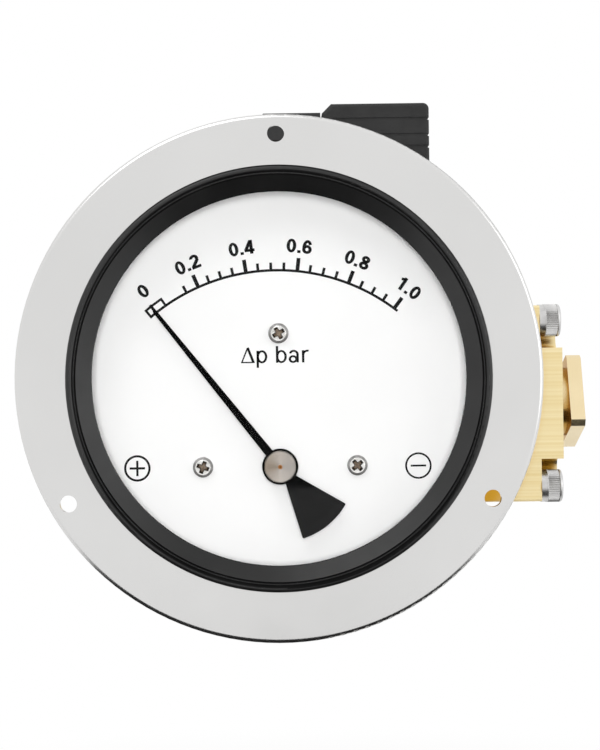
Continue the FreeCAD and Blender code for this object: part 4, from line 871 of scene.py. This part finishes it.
def mark(degrees, width, length):
    """One mark that stands on the arc."""
    foot = SCALE_CENTRE + Vector((0, 0, SCALE_RADIUS))
    obj = stroke(foot, foot + Vector((0, 0, length)), width)
    turn_round_scale(obj, degrees)
    return obj


LONG_MARK, SHORT_MARK = (1.1 * MM, 4.15 * MM), (0.8 * MM, 2.6 * MM)
SHORT_LAG, ARC_OVERRUN, ZERO_ROOM = 0.2, 1.1, 4
ZERO_START, ZERO_END, ZERO_HEIGHT = -39.6, -34.2, 3.0 * MM
printing = [scale_arc(SCALE_RADIUS, LINE, ZERO_START, MAIN_ANGLES[-1] + ARC_OVERRUN)]
for first, second in zip(MAIN_ANGLES, MAIN_ANGLES[1:]):
    for quarter in (1, 2, 3):
        degrees = first + (second - first) * quarter / 4
        if degrees > ZERO_END + ZERO_ROOM:
            printing.append(mark(degrees - SHORT_LAG, *SHORT_MARK))
    printing.append(mark(second, *LONG_MARK))
print("parts of the scale:", len(printing))

# %% Frame the zero and ink the scale
FRAME_LINE = 0.7 * MM
ZERO_MARK = (0.85 * MM, ZERO_HEIGHT + 0.2 * MM)
frame_radius = SCALE_RADIUS + ZERO_HEIGHT - FRAME_LINE
printing.append(scale_arc(frame_radius, FRAME_LINE, ZERO_START, ZERO_END))
for degrees in (ZERO_START, ZERO_END):
    printing.append(mark(degrees, FRAME_LINE, ZERO_HEIGHT))
printing.append(mark(MAIN_ANGLES[0], *ZERO_MARK))
ink("dial_scale", printing)

# %% [markdown]
# ## Figures and words
# The figures are a bold sans serif, each turned to face the pointer's axis. A text object
# would bring its own typeface, so they are drawn like a sign painter's: ovals, arcs and
# straight strokes, in millimetres about the middle of each figure.

# %% Draw the figures
FIGURES = {
    "0": [("oval", 0, 0, 2.75, 3.95)],
    "1": [("stroke", 0.3, -1.97, 0.3, 1.97), ("stroke", 0.3, 1.45, -0.85, 0.98)],
    "2": [
        ("oval", 0, 0.82, 2.65, 2.3, -85, 128), ("stroke", 0.95, 0.42, -1.02, -1.52),
        ("stroke", -1.37, -1.65, 1.37, -1.65),
    ],
    "4": [
        ("stroke", 0.52, -1.97, 0.52, 1.97), ("stroke", -1.42, -0.95, 1.42, -0.95),
        ("stroke", -1.16, -1.0, 0.42, 1.8),
    ],
    "6": [("oval", 0, -0.71, 2.75, 2.53), ("oval", 0, 0, 2.75, 3.95, -105, 62)],
    "8": [("oval", 0, 0.96, 2.45, 2.03), ("oval", 0, -0.85, 2.75, 2.25)],
    ".": [("stroke", 0, -1.97, 0, -1.17)],
}


def draw(shapes, middle, upright, level):
    """The strokes and ovals of one figure or letter, about a point on the dial."""
    parts = []
    for kind, x, z, *rest in shapes:
        if kind == "oval":
            width, height, *ends = rest
            centre = middle + Vector((x * MM, 0, z * MM))
            parts.append(oval(centre, width * MM, height * MM, upright, level, *ends))
        else:
            end_x, end_z, *own_width = rest
            first, last = Vector((x, 0, z)), Vector((end_x, 0, end_z))
            lying = abs(end_z - z) < 0.5 * abs(end_x - x)
            width = own_width[0] * MM if own_width else level if lying else upright
            parts.append(stroke(middle + first * MM, middle + last * MM, width))
    return parts


WORDS = ("0", "0.2", "0.4", "0.6", "0.8", "1.0")
WORD_SHIFTS = (0.86, -0.2, -0.15, -0.1, 0.0, -0.1)
FIGURE_STEP = 2.06
FIGURE_LINES = (0.95 * MM, 0.8 * MM)
figure_middle = SCALE_CENTRE + Vector((0, 0, 63.1 * MM))
printing = []
for word, degrees, shift in zip(WORDS, MAIN_ANGLES, WORD_SHIFTS):
    for place, figure in enumerate(word):
        step = (place - (len(word) - 1) / 2) * FIGURE_STEP
        for part in draw(FIGURES[figure], figure_middle, *FIGURE_LINES):
            turn_round_scale(part, degrees + shift + step)
            printing.append(part)
ink("dial_figures", printing)

# %% Draw the unit
UNIT = [
    ("stroke", -9.58, 0.19, -5.68, 0.19, 0.38), ("stroke", -9.38, 0.1, -7.68, 4.3, 0.42),
    ("stroke", -5.99, 0.1, -7.64, 4.4, 0.72), ("stroke", -4.78, -1.37, -4.78, 3.5),
    ("oval", -3.58, 1.77, 3.03, 3.72), ("stroke", 0.74, 0, 0.74, 4.78),
    ("oval", 1.97, 1.77, 3.09, 3.72), ("oval", 5.32, 1.0, 2.55, 2.2),
    ("stroke", 6.6, 0.05, 6.6, 2.4), ("oval", 5.5, 2.35, 2.82, 2.56, -75, 95),
    ("stroke", 8.17, 0, 8.17, 3.5), ("oval", 9.45, 2.3, 3.1, 2.62, -90, 15),
]
UNIT_LINES = (0.68 * MM, 0.56 * MM)
unit_middle = PIVOT + Vector((-1.2 * MM, 0, 29.5 * MM))
ink("dial_unit", draw(UNIT, unit_middle, *UNIT_LINES))

# %% [markdown]
# ## The pressure signs
# A plus and a minus in rings tell which port takes the higher pressure. They are drawn like
# the figures; each row gives the sign's place, its line and the bars besides the level one.

# %% Draw the ringed plus and minus
SIGN_RING, BAR_REACH, BAR_GAP = 7.55, 2.2, 0.22
UPRIGHT_BARS = [("stroke", 0, side * BAR_GAP, 0, side * BAR_REACH) for side in (1, -1)]
SIGNS = {
    "plus_sign": (-40.8, -0.1, 0.63, UPRIGHT_BARS),
    "minus_sign": (39.45, -0.4, 0.53, []),
}
LEVEL_BAR = ("stroke", -BAR_REACH, 0, BAR_REACH, 0)
for name, (across, rise, line, bars) in SIGNS.items():
    shapes = [("oval", 0, 0, SIGN_RING, SIGN_RING), LEVEL_BAR, *bars]
    middle = PIVOT + Vector((across * MM, 0, rise * MM))
    ink(name, draw(shapes, middle, line * MM, line * MM))

# %% [markdown]
# ## Dial screws
# Three pan-head screws hold the dial. The head is the flat cap of a large ball on a
# straight edge, with a cross recess that tapers down. A ball cut off flat gives the crown,
# and the flat is then drawn down and in to make the edge and the shank.

# %% Model one dial screw
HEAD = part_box("dial_screws")[0].y
SEAT = PIVOT.y
DIAL_SCREW_RADIUS = 2.85 * MM
DIAL_SHANK_RADIUS = 1.5 * MM
CROWN_RISE = 0.6 * MM
CROWN_BEVEL = 0.5 * MM
EDGE_RISE = SEAT - HEAD - CROWN_RISE
ball_radius = (DIAL_SCREW_RADIUS ** 2 + CROWN_RISE ** 2) / (2 * CROWN_RISE)
ball_middle = EDGE_RISE + CROWN_RISE - ball_radius
dial_screw = start_from(
    bpy.ops.mesh.primitive_uv_sphere_add, "dial_screw",
    segments=48, ring_count=30, radius=ball_radius, location=(0, 0, ball_middle)
)
settle(dial_screw)
bpy.ops.object.mode_set(mode="EDIT")
bpy.ops.mesh.select_all(action="SELECT")
bpy.ops.mesh.bisect(
    plane_co=(0, 0, EDGE_RISE), plane_no=(0, 0, 1), use_fill=True, clear_inner=True
)
pick(dial_screw, "FACE", lambda middle, part: part.normal.z < -0.99)
bpy.ops.mesh.extrude_region_move(TRANSFORM_OT_translate={"value": (0, 0, -EDGE_RISE)})
bpy.ops.mesh.inset(thickness=DIAL_SCREW_RADIUS - DIAL_SHANK_RADIUS)
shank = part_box("dial_screws")[1].y - SEAT
bpy.ops.mesh.extrude_region_move(TRANSFORM_OT_translate={"value": (0, 0, -shank)})
print("crown radius", round(ball_radius / MM, 2), "mm")


# %% Round its crown
def on_head_edge(middle, part):
    """The ring of edges between the crown and the straight edge."""
    ends = (dial_screw.data.vertices[i].co for i in part.vertices)
    return all(abs(end.z - EDGE_RISE) < NEAR for end in ends)


print("edges round the crown:", pick(dial_screw, "EDGE", on_head_edge))
bpy.ops.mesh.bevel(offset=CROWN_BEVEL, segments=4, affect="EDGES")
bpy.ops.object.mode_set(mode="OBJECT")
for finish in (nickel, shaded_recess, brown_film, shaded_edge):
    dial_screw.data.materials.append(finish)


# %% Sink the cross recess
def refinish(obj, place, test):
    """The chosen faces take the finish at that place in the piece's list."""
    chosen = pick(obj, "FACE", test)
    obj.active_material_index = place
    bpy.ops.object.material_slot_assign()
    bpy.ops.object.mode_set(mode="OBJECT")
    return chosen


RECESS_REACH, RECESS_WIDTH, RECESS_FLOOR = 4.9 * MM, 1.6 * MM, 0.75 * MM
WING_HEIGHT = 2.0 * MM
CROWN_SKIN = 0.03 * MM
for quarter in (0, 90):
    wing = start_from(
        bpy.ops.mesh.primitive_cube_add, "recess_wing", size=1,
        location=(0, 0, RECESS_FLOOR + WING_HEIGHT / 2), rotation=(0, 0, math.radians(quarter))
    )
    wing.scale = (RECESS_REACH, RECESS_WIDTH, WING_HEIGHT)
    settle(wing)
    pick(wing, "FACE", lambda middle, part: part.normal.z < -0.99)
    bpy.ops.transform.resize(value=(0.5, 0.5, 1), center_override=(0, 0, RECESS_FLOOR))
    apply_modifier(dial_screw, "BOOLEAN", operation="DIFFERENCE", object=wing, solver="EXACT")
    bpy.data.objects.remove(wing)


def in_recess(middle, part):
    """Faces below the crown and near the axis."""
    below = ball_radius - (middle - Vector((0, 0, ball_middle))).length
    near_axis = middle.xy.length < 0.6 * RECESS_REACH
    return below > CROWN_SKIN and middle.z > 0.5 * RECESS_FLOOR and near_axis


# The recess walls take the painted shade.
print("recess faces:", refinish(dial_screw, 1, in_recess))
refinish(dial_screw, 2, lambda middle, part: abs(middle.z - RECESS_FLOOR) < NEAR)
# The bevel round the crown takes the painted shade of the edge.
refinish(dial_screw, 3, lambda middle, part: middle.xy.length > DIAL_SCREW_RADIUS - CROWN_BEVEL)
smooth(dial_screw, 30)

# %% Set three of them in the dial
DIAL_SCREW_PLACES = ((-22, -25, 20), (22, -25, 50), (0, 12.9, -29))
screws = []
for across, rise, turn in DIAL_SCREW_PLACES:
    twin = copy_of(dial_screw, "dial_screw_twin")
    twin.rotation_euler = (math.radians(90), math.radians(turn), 0)
    twin.location = (across * MM, SEAT, rise * MM)
    settle(twin)
    screws.append(twin)
bpy.data.objects.remove(dial_screw)
cross_screws = join_as("cross_screws", screws)
hand_over(cross_screws, "gauge", nickel, "steel", "dial_screws")

# %% [markdown]
# ## Knurled cap screws
# Four socket-head screws hold the end cap. Their heads are knurled for the fingers: a fluted
# band, a rounded edge and a hexagon socket. A bump could draw the flutes,
# but they show on the outline, so every second line of points is drawn in towards the axis.

# %% Model one cap screw
HEAD_START, HEAD_END = 81.6 * MM, 86.6 * MM
HEAD_RADIUS = 5.0 * MM
FLUTES = 48
screw = start_from(
    bpy.ops.mesh.primitive_cylinder_add, "cap_screw",
    vertices=2 * FLUTES, radius=HEAD_RADIUS, depth=HEAD_END - HEAD_START,
    location=(0.5 * (HEAD_START + HEAD_END), 0, 0), rotation=(0, math.radians(90), 0)
)
settle(screw)
KNURL_START, KNURL_END, RUN_OUT = 82.0 * MM, 85.7 * MM, 0.2 * MM
for level in (KNURL_START, KNURL_START + RUN_OUT, KNURL_END - RUN_OUT, KNURL_END):
    bpy.ops.object.mode_set(mode="EDIT")
    bpy.ops.mesh.select_all(action="SELECT")
    bpy.ops.mesh.bisect(plane_co=(level, 0, 0), plane_no=(1, 0, 0))
    bpy.ops.object.mode_set(mode="OBJECT")


def in_flute(middle, part):
    """Every second line of points, along the knurled band only."""
    line = round(math.atan2(middle.z, middle.y) / (math.pi / FLUTES))
    return KNURL_START + 0.5 * RUN_OUT < middle.x < KNURL_END - 0.5 * RUN_OUT and line % 2


FLUTE_SHARE = 0.93
flute_points = pick(screw, "VERT", in_flute)
bpy.ops.transform.resize(value=(1, FLUTE_SHARE, FLUTE_SHARE), center_override=(0, 0, 0))
print("flute points:", flute_points)

# %% Round its edge and draw out the shank
HEAD_ROUND = 0.7 * MM
SHOULDER = 2.0 * MM
TIP_BEVEL = 0.5 * MM
screws_low, screws_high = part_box("cap_screws")
pick(screw, "EDGE", lambda middle, part: all(
    screw.data.vertices[i].co.x > HEAD_END - NEAR for i in part.vertices))
bpy.ops.mesh.bevel(offset=HEAD_ROUND, segments=4, affect="EDGES")
pick(screw, "FACE", lambda middle, part: part.normal.x < -0.99)
bpy.ops.mesh.inset(thickness=SHOULDER)
shank = screws_low.x - HEAD_START
bpy.ops.mesh.extrude_region_move(TRANSFORM_OT_translate={"value": (shank, 0, 0)})
bpy.ops.mesh.bevel(offset=TIP_BEVEL, segments=1, affect="EDGES")
bpy.ops.object.mode_set(mode="OBJECT")
print("shank", round(-shank / MM, 1), "mm long")

# %% Sink the hexagon socket
SOCKET_WIDTH, SOCKET_DEPTH = 5 * MM, 2.8 * MM
socket_radius = SOCKET_WIDTH / 2 / math.cos(math.radians(30))
key = start_from(
    bpy.ops.mesh.primitive_cylinder_add, "hexagon_key",
    vertices=6, radius=socket_radius, depth=2 * SOCKET_DEPTH,
    location=(HEAD_END, 0, 0), rotation=(0, math.radians(90), 0)
)
settle(key)
apply_modifier(screw, "BOOLEAN", operation="DIFFERENCE", object=key, solver="EXACT")
bpy.data.objects.remove(key)
screw.data.materials.append(screw_steel)
screw.data.materials.append(shaded_recess)


def in_socket(middle, part):
    """The walls and the floor of the socket."""
    below = HEAD_END - middle.x
    return NEAR < below < SOCKET_DEPTH + NEAR and middle.yz.length < socket_radius + NEAR


# The socket's walls and floor take the painted shade of the recess.
print("socket faces:", refinish(screw, 1, in_socket))
smooth(screw)

# %% Set four of them in the cap
screws = []
for depth in (screws_low.y + HEAD_RADIUS, screws_high.y - HEAD_RADIUS):
    for rise in (screws_low.z + HEAD_RADIUS, screws_high.z - HEAD_RADIUS):
        twin = copy_of(screw, "cap_screw_twin")
        twin.location = (0, depth, rise)
        settle(twin)
        screws.append(twin)
bpy.data.objects.remove(screw)
knurled_screws = join_as("knurled_screws", screws)
hand_over(knurled_screws, "gauge", screw_steel, "steel", "cap_screws")

# %% [markdown]
# ## Pipe threads in the ports
# Each bush has a parallel pipe thread, 19 turns to the inch. A curve could be swept along
# a spiral, but the Screw modifier needs only the section of one ridge: it draws that small
# triangle along the port while it turns round its axis.

# %% A helper that winds a section round the X axis
def wind(name, corners, thickness, radius, pitch, turns):
    """A bar with that many corners, wound round the X axis and closed at both ends."""
    coil = start_from(
        bpy.ops.mesh.primitive_circle_add, name,
        vertices=corners, radius=thickness, location=(0, 0, radius),
        rotation=(math.radians(90), math.radians(180), 0)
    )
    settle(coil)
    apply_modifier(coil, "SCREW", axis="X", screw_offset=pitch, iterations=turns,
                   steps=40, render_steps=40, use_merge_vertices=False)
    pick(coil, "EDGE", lambda middle, part: False)
    bpy.ops.mesh.select_non_manifold()
    bpy.ops.mesh.fill()
    bpy.ops.mesh.select_all(action="SELECT")
    bpy.ops.mesh.normals_make_consistent(inside=False)
    smooth(coil)
    return coil


# %% Cut the port threads
PITCH = 25.4 / 19 * MM
BORE = 5.72 * MM
RIDGE = 0.42 * MM
RIDGE_INSET = 0.1 * MM
THREAD_TURNS = 9
THREAD_START = 1.2 * MM


def port_thread(name, mouth, side):
    """A helical ridge in the bore, starting just inside the mouth."""
    ridge = wind(name, 3, RIDGE, BORE - RIDGE_INSET, -side * PITCH, THREAD_TURNS)
    ridge.location = (mouth - side * THREAD_START, PORT_Y, PORT_Z)
    hand_over(ridge, "gauge", turned_brass, "brass")


port_thread("low_port_thread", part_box("low_port_bush")[1].x, 1)
port_thread("high_port_thread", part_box("high_port_bush")[0].x, -1)

# %% [markdown]
# ## The range spring
# In the end cap a coil spring pushes the piston back, and its strength sets the range of
# the dial. A rigid spring would stick through the piston's plates when they move; this one
# is wound here from one round wire and stays a rigid part of the gauge.

# %% Wind the range spring
WIRE = 1.4 * MM
WIRE_CORNERS = 16
COILS = 5
spring_low, spring_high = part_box("range_spring")
spring_length = spring_high.x - spring_low.x
coil_radius = (spring_high.z - spring_low.z - WIRE) / 2
coil_pitch = (spring_length - WIRE) / COILS
spring = wind("coil_spring", WIRE_CORNERS, WIRE / 2, coil_radius, coil_pitch, COILS)
spring.location = (spring_low + spring_high) / 2
spring.location.x = spring_low.x + WIRE / 2
hand_over(spring, "gauge", screw_steel, "steel", "range_spring")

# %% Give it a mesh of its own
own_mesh(spring)

# %% [markdown]
# ## The diaphragm
# A rubber diaphragm keeps the two pressures apart. Its rim is clamped round the chamber,
# its middle moves with the piston's plates, and a small fold between them gives way. One
# rigid disc would be pierced by the rod, so it is made as two rings that meet on the crest
# of the fold. The outer one stays with the gauge, and the inner one is left without a body.

# %% Turn half of the fold into a ring
RUBBER = 1.0 * MM
FOLD_INSIDE = 0.5 * MM
FOLD_RADIUS = 16.3 * MM
FOLD_STEPS, RING_STEPS = 6, 72
rim_low, rim_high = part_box("diaphragm")
sheet_back, sheet_front = rim_low.x, rim_low.x + RUBBER
diaphragm_axis = (0, (rim_low.y + rim_high.y) / 2, (rim_low.z + rim_high.z) / 2)


def half_fold(name, side, reach):
    """A flat ring with a quarter turn of the fold, outside it (1) or inside it (-1)."""
    near = FOLD_RADIUS + side * (FOLD_INSIDE + RUBBER / 2)
    far = near + side * RUBBER / 2
    half = start_from(
        bpy.ops.mesh.primitive_plane_add, name, size=RUBBER,
        location=(sheet_back + RUBBER / 2, 0, near), rotation=(math.radians(90), 0, 0)
    )
    settle(half)
    pick(half, "EDGE", lambda middle, part: abs(middle.z - far) < NEAR)
    bpy.ops.mesh.extrude_edges_move(TRANSFORM_OT_translate={"value": (0, 0, reach - far)})
    pick(half, "EDGE", lambda middle, part: (
        abs(middle.x - sheet_front) < NEAR and abs(middle.z - near) < NEAR))
    bpy.ops.mesh.spin(
        steps=FOLD_STEPS, angle=-side * math.radians(90),
        center=(sheet_front, 0, FOLD_RADIUS), axis=(0, 1, 0)
    )
    pick(half, "FACE", lambda middle, part: True)
    bpy.ops.mesh.dissolve_faces()
    bpy.ops.mesh.delete(type="ONLY_FACE")
    apply_modifier(half, "SCREW", axis="X", steps=RING_STEPS, render_steps=RING_STEPS,
                   use_merge_vertices=True)
    pick(half, "FACE", lambda middle, part: True)
    bpy.ops.mesh.normals_make_consistent(inside=False)
    smooth(half)
    half.location = diaphragm_axis
    return half


# %% Make the rim with the gauge, and the middle on its own
ROD_HOLE = 3.05 * MM
rim = half_fold("diaphragm_rim", 1, (rim_high.z - rim_low.z) / 2)
hand_over(rim, "gauge", black_rubber, "black_rubber", "diaphragm")
middle = half_fold("diaphragm_middle", -1, ROD_HOLE)
hand_over(middle, None, black_rubber, "black_rubber", "diaphragm")
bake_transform(middle)
for half in (rim, middle):
    print(half.name, "crest at", round(max(v.co.x for v in half.data.vertices) / MM, 2), "mm")
